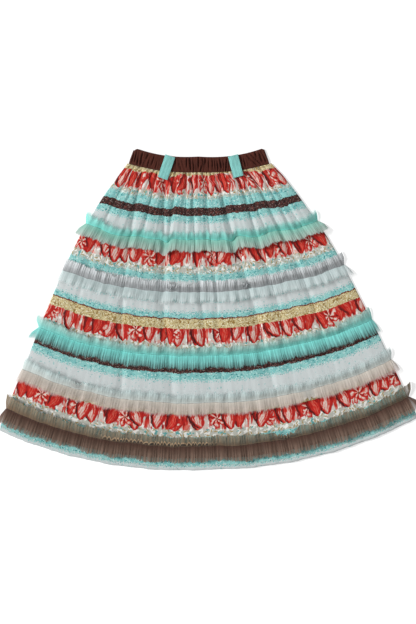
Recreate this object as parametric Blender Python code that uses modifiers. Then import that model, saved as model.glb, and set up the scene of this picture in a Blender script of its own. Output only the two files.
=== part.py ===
"""A gathered cotton skirt with five tulle ruffles, laid out flat on its back panel.

The panels fan out from a point above the waistband. A place on them is given by two shares:
across, from -1 at the left side seam to 1 at the right one, and down, from 0 at the
waistband to 1 at the hem. The waist points to +Y, the front faces +Z, and the origin is
the middle of the underside of the box round the skirt. Lengths are in metres.
"""

import math
from collections import namedtuple

import bmesh
import bpy
from mathutils import Vector

# The cut, measured in the fan
BAND_TOP_RADIUS = 0.316
BAND_HEIGHT = 0.038
PANEL_LENGTH = 0.712

# Walls and the gaps between them
CLOTH = 0.0015
TULLE = 0.001
BAND_WALL = 0.0026
BAND_INSIDE_GAP = 0.0006
SEAM_GAP = 0.0003

# Sections down the panels: half the angle that they span, the angle of their middle line,
# how much lower their sides lie than their middle and how evenly that comes about, how
# much lower the right side lies than the left, and how high the cloth puffs up
Section = namedtuple("Section", "down half_angle middle_angle sag sag_power skew puff")
SECTIONS = [
    Section(0.00, 27.40, 1.15, 0.020, 1.5, 0.0072, 0.0030),
    Section(0.05, 28.65, 1.35, 0.025, 1.6, 0.0072, 0.0065),
    Section(0.14, 29.75, 1.30, 0.029, 1.7, 0.0072, 0.0075),
    Section(0.30, 30.25, 1.50, 0.030, 1.8, 0.0072, 0.0070),
    Section(0.55, 29.30, 1.65, 0.028, 1.6, 0.0060, 0.0060),
    Section(0.70, 28.70, 1.75, 0.022, 1.4, 0.0050, 0.0050),
    Section(0.85, 28.15, 1.70, 0.018, 1.2, 0.0030, 0.0040),
    Section(1.00, 27.70, 1.75, 0.015, 0.9, 0.0000, 0.0030),
]

# The waistband's two edges: half the angle that they span and the angle of their middle
BandEdge = namedtuple("BandEdge", "half_angle middle_angle")
BAND_BOTTOM = BandEdge(26.5, 1.0)
BAND_TOP = BandEdge(27.3, 1.1)
BAND_TOP_SAG = 0.017
BAND_TOP_SKEW = 0.0072

# Creases that run down from the waist: where they lie, how deep they are at the top,
# how far down they reach, and half their width there
Crease = namedtuple("Crease", "across depth reach half_width")
CREASES = [
    Crease(-0.87, 0.0025, 0.40, 0.030),
    Crease(-0.73, 0.0035, 0.45, 0.032),
    Crease(-0.55, 0.0060, 1.15, 0.036),
    Crease(-0.41, 0.0035, 0.40, 0.030),
    Crease(-0.28, 0.0065, 1.20, 0.036),
    Crease(-0.12, 0.0040, 0.50, 0.032),
    Crease(0.09, 0.0055, 0.70, 0.034),
    Crease(0.30, 0.0065, 1.25, 0.038),
    Crease(0.54, 0.0050, 0.60, 0.034),
    Crease(0.73, 0.0055, 1.10, 0.036),
    Crease(0.88, 0.0030, 0.45, 0.030),
]

# Tulle strips sewn on along their middle: where the seam lies, the width of the free part
# above and below it, how steeply each stands off the skirt in degrees, how far its ends
# stick out past the side seams, and its colour
Ruffle = namedtuple(
    "Ruffle", "name down flap_up flap_down tilt_up tilt_down left_out right_out colour"
)
MINT = (0.22, 0.72, 0.62)
ICE = (0.66, 0.74, 0.75)
COCOA = (0.24, 0.14, 0.10)
RUFFLES = [
    Ruffle("ruffle_1_mint", 0.2333, 0.034, 0.036, 42, 27, 0.011, 0.014, MINT),
    Ruffle("ruffle_2_ice", 0.4046, 0.034, 0.036, 35, 24, 0.001, 0.011, ICE),
    Ruffle("ruffle_3_mint", 0.6175, 0.034, 0.038, 44, 21, 0.015, 0.007, MINT),
    Ruffle("ruffle_4_ice", 0.7762, 0.036, 0.036, 37, 24, 0.002, 0.011, ICE),
    Ruffle("ruffle_5_cocoa", 0.9217, 0.036, 0.042, 42, 19, 0.009, 0.021, COCOA),
]

# Gathers. Each ruffle has RUFFLE_WAVES, and the panel's top edge and the band theirs
RUFFLE_WAVES = 28
RUFFLE_WAVE_HEIGHT = 0.0032
COLUMNS_PER_WAVE = 4
WRAP_COLUMNS = 3
FLAP_DROOP = 10
END_BLEND_POWER = 12
FULL_WAVE_TILT = 20
WAIST_GATHER_HEIGHT = 0.0012
WAIST_GATHER_REACH = 0.07
BAND_GATHERS = 20
BAND_GATHER_HEIGHT = 0.0012
BAND_FOLD_COLUMNS = 4
BACK_COLUMNS = 14

# Belt loops: the angle of their head and foot, and how far they reach below the band
Loop = namedtuple("Loop", "name head_angle foot_angle below_band")
LOOPS = [
    Loop("belt_loop_left", -11.05, -12.00, 0.018),
    Loop("belt_loop_right", 15.75, 15.20, 0.015),
]
LOOP_WIDTH = 0.024
LOOP_WALL = 0.0014
LOOP_SLACK = 0.0012
LOOP_COLUMNS = 4

# Worked out from the sizes above
PANEL_COLUMNS = 2 * RUFFLE_WAVES
PANEL_STEP = 2 / PANEL_COLUMNS
WAIST_RADIUS = BAND_TOP_RADIUS + BAND_HEIGHT + SEAM_GAP
FRONT_REST = CLOTH + SEAM_GAP + CLOTH
PANEL_ROWS = sorted(
    [0.0, 0.03, 0.07, 0.12, 0.175, 0.32, 0.51, 0.70, 0.85, 1.0]
    + [ruffle.down for ruffle in RUFFLES]
)
UP = Vector((0, 0, 1))


def clear_scene():
    for old in list(bpy.data.objects):
        bpy.data.objects.remove(old)


def new_collection(name):
    collection = bpy.data.collections.new(name)
    bpy.context.scene.collection.children.link(collection)
    return collection


def material(name, colour, roughness):
    made = bpy.data.materials.new(name)
    made.use_nodes = True
    shader = made.node_tree.nodes["Principled BSDF"]
    shader.inputs["Base Color"].default_value = (*colour, 1)
    shader.inputs["Roughness"].default_value = roughness
    shader.inputs["Metallic"].default_value = 0
    return made


def section_value(column, down):
    """A column of SECTIONS at a share of the way down, on a smooth curve through its rows."""
    last = len(SECTIONS) - 1
    upper = max(i for i in range(last) if SECTIONS[i].down <= max(down, 0))
    before, start, end, after = (
        SECTIONS[min(max(i, 0), last)] for i in range(upper - 1, upper + 3)
    )
    span = end.down - start.down

    def rise(one, other):
        return (getattr(other, column) - getattr(one, column)) * span / (other.down - one.down)

    t = (down - start.down) / span
    return (
        (2 * t**3 - 3 * t**2 + 1) * getattr(start, column)
        + (t**3 - 2 * t**2 + t) * rise(before, end)
        + (3 * t**2 - 2 * t**3) * getattr(end, column)
        + (t**3 - t**2) * rise(start, after)
    )


def fan_point(radius, angle, height):
    """A point at that radius from the fan's centre and that many degrees off straight down."""
    turn = math.radians(angle)
    return Vector((radius * math.sin(turn), -radius * math.cos(turn), height))


def panel_plan(across, down):
    """Where a place on the panels lies, seen from above."""
    sag = section_value("sag", down) * abs(across) ** section_value("sag_power", down)
    skew = section_value("skew", down) * across / 2
    radius = WAIST_RADIUS + PANEL_LENGTH * down + sag + skew
    angle = section_value("middle_angle", down) + across * section_value("half_angle", down)
    return fan_point(radius, angle, 0)


def crease_depth(crease, across, down):
    """How deep one crease cuts into the cloth at a place."""
    fading = max(0.0, 1 - down / crease.reach)
    opening = 1 + 0.8 * down
    sideways = (across - crease.across) / (crease.half_width * opening)
    return crease.depth * fading / (1 + sideways * sideways)


def waist_gather(across, down):
    """The small gathers under the waistband, a crest at every second column."""
    column = round((across + 1) / PANEL_STEP)
    fading = max(0.0, 1 - down / WAIST_GATHER_REACH)
    return WAIST_GATHER_HEIGHT * fading * (column % 2)


def front_lift(across, down):
    """How far the front panel is raised off its place on the back panel."""
    rounded_side = math.sqrt(max(0.0, 1 - abs(across) ** 8))
    lift = section_value("puff", down) * rounded_side
    lift -= sum(crease_depth(crease, across, down) for crease in CREASES)
    return max(lift, 0.0) + waist_gather(across, down) * rounded_side


def front_point(across, down):
    point = panel_plan(across, down)
    point.z = FRONT_REST + front_lift(across, down)
    return point


def on_front(across, down):
    """A point on the front panel's flat facets, between two of its columns."""
    column = min(int((across + 1) / PANEL_STEP + 1e-6), PANEL_COLUMNS - 1)
    left = -1 + column * PANEL_STEP
    share = (across - left) / PANEL_STEP
    return front_point(left, down).lerp(front_point(left + PANEL_STEP, down), share)


def way_down(across, down):
    """The direction towards the hem, seen from above."""
    step = 0.01
    way = panel_plan(across, down + step) - panel_plan(across, down - step)
    return way.normalized()


def cloth_object(name, columns, rows, place, wall, offset, look, home, weld=False):
    """A grid of cloth whose corner (column, row) lies at place(column, row), with a wall."""
    grid = bmesh.new()
    bmesh.ops.create_grid(grid, x_segments=columns, y_segments=rows, size=1)
    for vertex in grid.verts:
        column = round((vertex.co.x + 1) / 2 * columns)
        row = round((1 - vertex.co.y) / 2 * rows)
        vertex.co = place(column, row)
    if weld:
        bmesh.ops.remove_doubles(grid, verts=grid.verts, dist=1e-5)
    mesh = bpy.data.meshes.new(name)
    grid.to_mesh(mesh)
    grid.free()
    mesh.materials.append(look)
    made = bpy.data.objects.new(name, mesh)
    home.objects.link(made)
    solidify = made.modifiers.new("wall", "SOLIDIFY")
    solidify.thickness = wall
    solidify.offset = offset
    return made


def make_front_panel(home):
    def place(column, row):
        return front_point(-1 + column * PANEL_STEP, PANEL_ROWS[row])

    look = material("printed_cotton_front", (0.36, 0.68, 0.66), 0.8)
    rows = len(PANEL_ROWS) - 1
    return cloth_object("front_panel", PANEL_COLUMNS, rows, place, CLOTH, -1, look, home)


def make_back_panel(home):
    def place(column, row):
        point = panel_plan(-1 + 2 * column / BACK_COLUMNS, PANEL_ROWS[row])
        point.z = CLOTH
        return point

    look = material("printed_cotton_back", (0.34, 0.64, 0.62), 0.8)
    rows = len(PANEL_ROWS) - 1
    return cloth_object("back_panel", BACK_COLUMNS, rows, place, CLOTH, -1, look, home)


def band_stations():
    """Places round the waistband: across the front, a tight fold, along the back, a fold.

    Each is the share across, how far the cloth has turned over, and how high it ripples."""
    front_columns = 2 * BAND_GATHERS
    stations = []
    for i in range(front_columns + 1):
        ripple = BAND_GATHER_HEIGHT * (i % 2)
        stations.append((-1 + 2 * i / front_columns, 0, ripple))
    for i in range(1, BAND_FOLD_COLUMNS):
        stations.append((1, 180 * i / BAND_FOLD_COLUMNS, 0))
    for i in range(BAND_GATHERS + 1):
        stations.append((1 - 2 * i / BAND_GATHERS, 180, 0))
    for i in range(1, BAND_FOLD_COLUMNS + 1):
        stations.append((-1, 180 + 180 * i / BAND_FOLD_COLUMNS, 0))
    return stations


def band_plan(across, up):
    """Where a place on the waistband lies, from its lower edge at up 0 to its top at 1."""
    bottom_angle = BAND_BOTTOM.middle_angle + across * BAND_BOTTOM.half_angle
    top_angle = BAND_TOP.middle_angle + across * BAND_TOP.half_angle
    over_panel = (bottom_angle - SECTIONS[0].middle_angle) / SECTIONS[0].half_angle
    bottom = fan_point(panel_plan(over_panel, 0).length - SEAM_GAP, bottom_angle, 0)
    top_sag = BAND_TOP_SAG * abs(across) ** 1.2 + BAND_TOP_SKEW * across / 2
    return bottom.lerp(fan_point(BAND_TOP_RADIUS + top_sag, top_angle, 0), up)


def band_front_height(ripple):
    """The height of the front layer's middle surface."""
    return BAND_WALL + BAND_INSIDE_GAP + BAND_WALL / 2 + ripple


def make_waistband(home):
    stations = band_stations()
    stack_middle = BAND_WALL + BAND_INSIDE_GAP / 2
    turn_radius = (BAND_WALL + BAND_INSIDE_GAP) / 2
    swell = (0, 0.0003, 0)

    def place(column, row):
        across, turned, ripple = stations[column]
        up = 1 - row / 2
        point = band_plan(across, up)
        along_edge = (band_plan(across, 0) - band_plan(across, 1)).normalized()
        sideways = along_edge.cross(UP) * (-1 if turned <= 180 else 1)
        turn = math.radians(turned)
        point += sideways * turn_radius * abs(math.sin(turn))
        point.z = stack_middle + turn_radius * math.cos(turn)
        if turned % 360 == 0:
            point.z += ripple + swell[row]
        return point

    look = material("brown_casing", (0.075, 0.028, 0.022), 0.75)
    columns = len(stations) - 1
    return cloth_object(
        "waistband", columns, 2, place, BAND_WALL, 0, look, home, weld=True
    )


def make_belt_loop(loop, home, look):
    """A flat strip from the band's top edge to just below it, clear of what it lies on."""
    band_top = band_front_height(BAND_GATHER_HEIGHT + 0.0003) + BAND_WALL / 2
    below = loop.below_band / PANEL_LENGTH
    under = [loop.foot_angle + degrees / 4 for degrees in range(-12, 13)]
    across_under = [
        (angle - SECTIONS[0].middle_angle) / SECTIONS[0].half_angle for angle in under
    ]
    panel_top = max(front_point(across, 0).z for across in across_under)
    foot_top = max(front_point(across, below).z for across in across_under)
    head = band_plan((loop.head_angle - BAND_TOP.middle_angle) / BAND_TOP.half_angle, 1)
    foot_across = (loop.foot_angle - SECTIONS[0].middle_angle) / SECTIONS[0].half_angle
    foot = panel_plan(foot_across, below)
    sideways = (head - foot).normalized().cross(UP)
    # Along the strip: the share of its length, and the height that it clears
    rows = [
        (0.0, band_top),
        (0.2, band_top + LOOP_SLACK),
        (0.5, band_top + LOOP_SLACK),
        (0.7, max(band_top, panel_top) + CLOTH),
        (1.0, max(foot_top, panel_top) + CLOTH),
    ]

    def place(column, row):
        share, height = rows[row]
        offset = LOOP_WIDTH * (column / LOOP_COLUMNS - 0.5)
        point = head.lerp(foot, share) + sideways * offset
        point.z = height + SEAM_GAP
        return point

    rows_between = len(rows) - 1
    return cloth_object(
        loop.name, LOOP_COLUMNS, rows_between, place, LOOP_WALL, 1, look, home
    )


def ruffle_stations():
    """Columns of a ruffle: round the left side fold, over the front, round the right one.

    Each is the share across and how far the cloth has turned down, in degrees."""
    front = RUFFLE_WAVES * COLUMNS_PER_WAVE
    left = [(-1, 90 * (1 - i / WRAP_COLUMNS)) for i in range(WRAP_COLUMNS)]
    middle = [(-1 + 2 * i / front, 0) for i in range(front + 1)]
    right = [(1, 90 * i / WRAP_COLUMNS) for i in range(1, WRAP_COLUMNS + 1)]
    return left + middle + right


def ruffle_wave(column):
    """Rises and falls as the cloth is gathered, with the crests of uneven height."""
    turn = 2 * math.pi * (column + 0.5) / COLUMNS_PER_WAVE
    uneven = 0.8 + 0.2 * math.sin(column * 0.37) + 0.12 * math.sin(column * 0.91)
    return RUFFLE_WAVE_HEIGHT * uneven * math.cos(turn) * math.sqrt(2)


def ruffle_seam(ruffle, across, turned):
    """The seam's point, the way down the skirt and the way off it, at one column."""
    down = way_down(across, ruffle.down)
    if turned == 0:
        point = on_front(across, ruffle.down)
        point.z += SEAM_GAP + TULLE / 2
        return point, down, UP
    side_middle = FRONT_REST / 2
    reach = side_middle + SEAM_GAP + TULLE / 2
    outward = down.cross(UP) * (-1 if across > 0 else 1)
    turn = math.radians(turned)
    off = outward * math.sin(turn) + UP * math.cos(turn)
    point = panel_plan(across, ruffle.down) + UP * side_middle + off * reach
    return point, down, off


def flap_lean(ruffle, across, tilt, width):
    """How steeply a flap stands off the skirt, in degrees: less or more at its ends."""
    out = ruffle.left_out if across < 0 else ruffle.right_out
    at_end = math.degrees(math.asin(out / width))
    return tilt + (at_end - tilt) * abs(across) ** END_BLEND_POWER


def make_ruffle(ruffle, home):
    stations = ruffle_stations()
    # Across the strip: which way it runs from the seam, and the share of the flap's width
    profile = [(-1, 1), (-1, 0.5), (0, 0), (1, 0.5), (1, 1)]

    def place(column, row):
        across, turned = stations[column]
        seam, down, off = ruffle_seam(ruffle, across, turned)
        way, share = profile[row]
        if way == 0:
            return seam
        width = ruffle.flap_up if way < 0 else ruffle.flap_down
        tilt = ruffle.tilt_up if way < 0 else ruffle.tilt_down
        middle_lean = flap_lean(ruffle, across, tilt, width)
        droop = min(FLAP_DROOP, middle_lean / 2)
        steep, shallow = math.radians(middle_lean + droop), math.radians(middle_lean - droop)
        point = seam + (down * way * math.cos(steep) + off * math.sin(steep)) * width / 2
        if share == 1:
            point += (down * way * math.cos(shallow) + off * math.sin(shallow)) * width / 2
        lean = math.radians(middle_lean)
        facing = off * math.cos(lean) - down * way * math.sin(lean)
        wave = ruffle_wave(column) * share * min(1, middle_lean / FULL_WAVE_TILT)
        return point + facing * wave

    look = material(ruffle.name + "_tulle", ruffle.colour, 0.7)
    return cloth_object(
        ruffle.name, len(stations) - 1, len(profile) - 1, place, TULLE, 0, look, home
    )


def put_on_origin(objects):
    """Moves the meshes so that the middle of their box's underside is the origin."""
    graph = bpy.context.evaluated_depsgraph_get()
    corners = []
    for each in objects:
        solid = each.evaluated_get(graph).to_mesh()
        corners += [vertex.co.copy() for vertex in solid.vertices]
        each.evaluated_get(graph).to_mesh_clear()
    low = Vector(min(corner[i] for corner in corners) for i in range(3))
    high = Vector(max(corner[i] for corner in corners) for i in range(3))
    shift = Vector((-(low.x + high.x) / 2, -(low.y + high.y) / 2, -low.z))
    for each in objects:
        each.location = shift


def main():
    clear_scene()
    home = new_collection("ruffle_skirt")
    parts = [make_back_panel(home), make_front_panel(home), make_waistband(home)]
    webbing = material("mint_loop", (0.26, 0.62, 0.62), 0.75)
    parts += [make_belt_loop(loop, home, webbing) for loop in LOOPS]
    parts += [make_ruffle(ruffle, home) for ruffle in RUFFLES]
    put_on_origin(parts)


main()
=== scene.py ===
"""Dresses the ruffle skirt's frame in printed cotton, gathered tulle, casing and thread.

The skirt lies flat on its back panel with its waist towards +Y. As in the frame, a place on
its panels is given by two shares: across, from -1 at the left side seam to 1 at the right
one, and down, from 0 at the waistband to 1 at the hem. Lengths are in metres.
"""

import math
from collections import namedtuple

import bpy
import numpy as np
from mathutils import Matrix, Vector


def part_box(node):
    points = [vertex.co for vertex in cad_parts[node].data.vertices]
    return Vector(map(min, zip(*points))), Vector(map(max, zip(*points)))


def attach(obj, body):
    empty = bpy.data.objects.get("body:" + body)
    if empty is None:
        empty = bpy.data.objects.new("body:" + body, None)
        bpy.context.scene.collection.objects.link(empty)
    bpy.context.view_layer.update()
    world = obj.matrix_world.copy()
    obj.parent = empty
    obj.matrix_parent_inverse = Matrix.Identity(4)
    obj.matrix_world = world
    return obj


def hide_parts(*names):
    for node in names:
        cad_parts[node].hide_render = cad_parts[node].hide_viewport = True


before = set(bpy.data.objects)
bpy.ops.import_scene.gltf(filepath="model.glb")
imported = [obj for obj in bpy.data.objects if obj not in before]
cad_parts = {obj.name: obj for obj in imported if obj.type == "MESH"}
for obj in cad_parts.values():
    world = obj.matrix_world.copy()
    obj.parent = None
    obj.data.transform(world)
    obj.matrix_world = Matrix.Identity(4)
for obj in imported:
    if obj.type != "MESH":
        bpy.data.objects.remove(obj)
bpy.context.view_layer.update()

# The cut, as in the frame
BAND_TOP_RADIUS = 0.316
BAND_HEIGHT = 0.038
PANEL_LENGTH = 0.712
CLOTH = 0.0015
BAND_WALL = 0.0026
BAND_INSIDE_GAP = 0.0006
SEAM_GAP = 0.0003
WAIST_RADIUS = BAND_TOP_RADIUS + BAND_HEIGHT + SEAM_GAP
FRONT_REST = CLOTH + SEAM_GAP + CLOTH
WAIST_CUT = 0.80
HEM_CUT = 0.99
TURNED_HEM = 0.012

# The cloth that shows: how much fuller the front puffs than its sections say, and the walls
FRONT_FULLER = 1.35
FRONT_WALL = 0.0006
BACK_WALL = 0.0013

# Sections down the panels: half the angle that they span, the angle of their middle line,
# how much lower their sides lie than their middle and how evenly that comes about, how
# much lower the right side lies than the left, and how high the cloth puffs up
Section = namedtuple("Section", "down half_angle middle_angle sag sag_power skew puff")
SECTIONS = [Section(*row) for row in (
    (0.00, 27.40, 1.15, 0.020, 1.5, 0.0072, 0.0030),
    (0.05, 28.65, 1.35, 0.025, 1.6, 0.0072, 0.0065),
    (0.14, 29.75, 1.30, 0.029, 1.7, 0.0072, 0.0075),
    (0.30, 30.25, 1.50, 0.030, 1.8, 0.0072, 0.0070),
    (0.55, 29.30, 1.65, 0.028, 1.6, 0.0060, 0.0060),
    (0.70, 28.70, 1.75, 0.022, 1.4, 0.0050, 0.0050),
    (0.85, 28.15, 1.70, 0.018, 1.2, 0.0030, 0.0040),
    (1.00, 27.70, 1.75, 0.015, 0.9, 0.0000, 0.0030),
)]

# The waistband's two edges: half the angle that they span and the angle of their middle
BandEdge = namedtuple("BandEdge", "half_angle middle_angle")
BAND_BOTTOM = BandEdge(26.5, 1.0)
BAND_TOP = BandEdge(27.3, 1.1)
BAND_TOP_SAG = 0.017
BAND_TOP_SKEW = 0.0072

# The front's low relief: how many tucks the waistband makes, how high they are and how far
# they reach down; the folds between the creases, straight and cross; the puckers along the
# ruffles' seams, their reach and their number; the fold of the turned hem, the width over
# which it drops, and how far the hem's edge wanders
TUCKS = 36
TUCK_HEIGHT = 0.0042
TUCK_REACH = 0.055
SOFT_FOLD = 0.0015
CROSS_FOLD = 0.0004
PUCKER_HEIGHT = 0.0004
PUCKER_REACH = 0.022
PUCKERS = 95
HEM_FOLD = 0.00025
HEM_FOLD_EDGE = 0.0012
HEM_WANDER = 0.0016

# Creases that run down from the waist: where they start and where they have wandered to
# halfway down, how deep they are at the top, how far down they reach, the width of their
# long left slope and their short right one, and how far the cloth steps down past them
Crease = namedtuple("Crease", "top halfway depth reach left right step")
CREASES = [Crease(*row) for row in (
    (-0.91, -0.84, 0.0060, 0.80, 0.024, 0.012, 0.001),
    (-0.80, -0.74, 0.0040, 0.28, 0.022, 0.012, 0.001),
    (-0.81, -0.53, 0.0110, 0.95, 0.026, 0.012, -0.003),
    (-0.60, -0.46, 0.0060, 0.45, 0.024, 0.014, 0.003),
    (-0.50, -0.25, 0.0120, 1.00, 0.032, 0.016, 0.002),
    (-0.31, -0.27, 0.0120, 0.60, 0.030, 0.012, -0.007),
    (-0.18, -0.12, 0.0045, 0.35, 0.018, 0.012, 0.004),
    (-0.13, -0.01, 0.0080, 0.75, 0.024, 0.014, -0.001),
    (0.08, 0.09, 0.0070, 0.80, 0.024, 0.014, 0.000),
    (0.20, 0.34, 0.0120, 1.00, 0.034, 0.016, -0.004),
    (0.51, 0.49, 0.0080, 0.80, 0.028, 0.014, 0.002),
    (0.57, 0.58, 0.0045, 0.45, 0.020, 0.012, -0.002),
    (0.68, 0.71, 0.0120, 0.80, 0.030, 0.018, 0.003),
    (0.77, 0.79, 0.0055, 0.40, 0.022, 0.012, 0.005),
    (0.82, 0.90, 0.0070, 0.60, 0.026, 0.014, -0.002),
)]

# The printed bands of the cotton: where each starts below the waistband, and its colour
Band = namedtuple("Band", "start colour")
BANDS = [Band(*row) for row in (
    (0.0000, "ochre"), (0.0110, "blush"), (0.0490, "cream"), (0.0630, "mint"),
    (0.0838, "brown"), (0.1038, "mint"), (0.1222, "white"), (0.1660, "ochre"),
    (0.1876, "blush"), (0.2240, "cream"), (0.2430, "mint"), (0.2605, "white"),
    (0.2740, "brown"), (0.2873, "mint"), (0.3112, "white"), (0.3340, "mint"),
    (0.3503, "wine"), (0.3515, "ochre"), (0.3727, "blush"), (0.4100, "cream"),
    (0.4290, "mint"), (0.4550, "brown"), (0.4805, "mint"), (0.5000, "white"),
    (0.5527, "ochre"), (0.5785, "blush"), (0.6140, "cream"), (0.6340, "mint"),
    (0.6574, "brown"), (0.6821, "mint"), (0.7020, "white"),
)]
PRINT_COLOURS = {
    "ochre": (203, 187, 139),
    "blush": (208, 197, 189),
    "cream": (186, 187, 177),
    "mint": (143, 202, 198),
    "brown": (62, 34, 30),
    "white": (205, 211, 211),
    "wine": (110, 42, 28),
}

# How far the bands' edges wander, and how far their grains stray where they don't fray and
# where they fray most
EDGE_WANDER = 0.006
EDGE_GRAIN = 0.006
EDGE_FRAY = 0.050

# Edges of bands that fray: how far below the waistband each lies, and how far it frays
Fade = namedtuple("Fade", "down reach")
FADES = [Fade(*row) for row in (
    (0.0630, 0.010), (0.1222, 0.014), (0.2430, 0.015), (0.2605, 0.010),
    (0.3112, 0.010), (0.3340, 0.016), (0.5000, 0.019), (0.7030, 0.012),
)]

# Specks printed on the bands: the share of noise above which they show sets how many
Fleck = namedtuple("Fleck", "band colour per_metre above seed")
FLECKS = [Fleck(*row) for row in (
    ("mint", (124, 188, 186), 45, 0.50, 0.6),
    ("mint", (196, 226, 222), 210, 0.58, 1.1),
    ("mint", (48, 130, 134), 200, 0.60, 2.3),
    ("white", (156, 194, 192), 130, 0.63, 3.1),
    ("brown", (104, 56, 48), 170, 0.56, 2.9),
    ("brown", (18, 14, 14), 170, 0.56, 5.9),
    ("brown", (142, 128, 122), 300, 0.60, 4.7),
    ("ochre", (232, 226, 198), 250, 0.55, 6.1),
    ("ochre", (134, 102, 50), 250, 0.60, 1.9),
    ("cream", (234, 234, 228), 100, 0.51, 7.3),
    ("cream", (96, 164, 162), 95, 0.59, 8.9),
    ("blush", (222, 168, 158), 55, 0.54, 9.7),
    ("blush", (238, 236, 230), 90, 0.56, 4.1),
)]

# Thin wandering lines printed on the ochre bands: their colour, how many a metre, their width
SCRIBBLE_COLOUR = (146, 116, 60)
SCRIBBLES_A_METRE = 100
SCRIBBLE_WIDTH = 0.050

# Rows of printed flowers: where the middle of each row lies below the waistband
FLOWER_ROWS = (0.0305, 0.2052, 0.3908, 0.5952)

# Layers of the flower rows, from the back to the front: the motif, the room that each takes
# along the cloth, its shift there, how far below the row's middle it lies, its half length,
# and how far it may be turned, in turns
Motif = namedtuple("Motif", "kind spacing shift lower size turn")
MOTIFS = [Motif(*row) for row in (
    ("petal", 0.0520, 0.00, -0.0042, 0.0270, 0.09),
    ("flower", 0.1130, 0.30, -0.0015, 0.0240, 1.00),
    ("petal", 0.0730, 0.80, -0.0042, 0.0265, 0.16),
)]

# How far a motif strays along its cell and down it, and how much motifs differ in size
MOTIF_STRAY = 0.30
MOTIF_DROP = 0.010
MOTIF_GROWTH = 0.30

# The motifs' colours from their shaded side to their lit one, as (place, colour)
FLOWER_COLOURS = [
    (0.00, (64, 12, 12)), (0.20, (130, 16, 14)), (0.36, (184, 26, 18)),
    (0.62, (200, 44, 32)), (0.84, (212, 112, 96)), (0.98, (226, 208, 198)),
]
FLOWER_TIP = (188, 30, 22)
FLOWER_HEART = (122, 66, 36)
PALE_PETAL = [
    (0.00, (52, 12, 14)), (0.12, (104, 16, 14)), (0.22, (184, 28, 20)),
    (0.36, (204, 62, 46)), (0.45, (224, 206, 196)), (0.58, (220, 180, 168)),
    (0.70, (200, 50, 38)), (0.88, (182, 26, 20)), (1.00, (160, 20, 16)),
]
RED_PETAL = [
    (0.00, (52, 12, 12)), (0.14, (120, 16, 14)), (0.28, (184, 26, 18)),
    (0.50, (202, 50, 38)), (0.60, (212, 108, 90)), (0.68, (196, 38, 28)),
    (0.90, (176, 22, 16)), (1.00, (140, 18, 14)),
]
STROKE_COLOURS = [
    (0.32, (108, 16, 14)), (0.44, (186, 30, 22)), (0.54, (198, 50, 38)), (0.66, (214, 130, 114)),
]

# Small leaves on the cream bands: how many a metre, their half length and width, their colour
LEAVES_A_METRE = 80
LEAF_SIZE = (0.0056, 0.0017)
LEAF_COLOUR = (170, 146, 96)

# The weave of both cottons, in threads a metre, and the colours of the plain ones
WEAVE_THREADS = 1800.0
CASING_BROWN = (79, 36, 25)
LOOP_MINT = (136, 204, 198)

# Tulle strips sewn on along their middle, as in the frame: how far down the seam lies, the
# width of the two flaps and how steeply they stand, how far they stand out past the sides,
# the number of small gathers, and the slot of the tulle
Ruffle = namedtuple(
    "Ruffle",
    "name down flap_up flap_down tilt_up tilt_down left_out right_out gathers slot",
)
RUFFLES = [Ruffle(*row) for row in (
    ("ruffle_1_mint", 0.2333, 0.034, 0.036, 42, 27, 0.011, 0.014, 112, "mint_tulle"),
    ("ruffle_2_ice", 0.4046, 0.034, 0.036, 35, 24, 0.001, 0.011, 126, "ice_tulle"),
    ("ruffle_3_mint", 0.6175, 0.034, 0.038, 44, 21, 0.015, 0.007, 132, "mint_tulle"),
    ("ruffle_4_ice", 0.7762, 0.036, 0.036, 37, 24, 0.002, 0.011, 136, "ice_tulle"),
    ("ruffle_5_cocoa", 0.9217, 0.036, 0.042, 42, 19, 0.009, 0.021, 130, "cocoa_tulle"),
)]

# The strips' waves, as in the frame: how many and how high, how much a flap's outer half
# droops, how near its ends it leans otherwise, and the lean at which its waves are full
WAVES = 28
WAVE_HEIGHT = 0.0032
FLAP_DROOP = 10
END_BLEND_POWER = 12
FULL_WAVE_TILT = 20

# How much longer a strip was cut than its seam, the points along each gather, the columns
# that turn round a side, and how high the seam lies over the cloth
TULLE_FULLNESS = 1.42
POINTS_A_GATHER = 8
WRAP_COLUMNS = 12
SEAM_LIFT = 0.0008

# Rows across a flap, as shares of its width from the seam to the raw edge
FLAP_ROWS = (0, 0.10, 0.22, 0.34, 0.45, 0.55, 0.66, 0.78, 0.89, 1)

# The two flaps of each strip, the upper one first: the tulle's colour at the seam and at the
# free edge, how densely it covers the cloth at the seam, halfway and at the edge, how softly
# the edge ends, and how clearly the gathers stand out as a comb, in their cover, their height
# and painted stripes of light and shade along them
Flap = namedtuple("Flap", "seam_colour edge_colour at_seam halfway at_edge haze comb")
FLAPS = {
    "ruffle_1_mint": (
        Flap((127, 220, 209), (152, 216, 208), 0.94, 0.88, 0.56, 0.45, 0.08),
        Flap((140, 200, 185), (172, 186, 178), 0.93, 0.87, 0.78, 0.12, 0.45),
    ),
    "ruffle_2_ice": (
        Flap((163, 166, 168), (218, 222, 224), 0.84, 0.80, 0.76, 0.13, 0.85),
        Flap((202, 216, 216), (214, 220, 220), 0.84, 0.78, 0.62, 0.36, 0.22),
    ),
    "ruffle_3_mint": (
        Flap((132, 214, 206), (176, 208, 200), 0.93, 0.86, 0.74, 0.28, 0.12),
        Flap((128, 216, 209), (116, 172, 168), 0.95, 0.84, 0.30, 0.16, 0.80),
    ),
    "ruffle_4_ice": (
        Flap((214, 221, 217), (186, 209, 209), 0.86, 0.80, 0.70, 0.42, 0.32),
        Flap((206, 199, 189), (198, 182, 176), 0.88, 0.75, 0.42, 0.20, 0.36),
    ),
    "ruffle_5_cocoa": (
        Flap((122, 98, 76), (134, 122, 102), 0.92, 0.79, 0.82, 0.06, 0.70),
        Flap((74, 48, 38), (124, 103, 89), 0.95, 0.89, 0.70, 0.09, 0.90),
    ),
}
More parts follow.
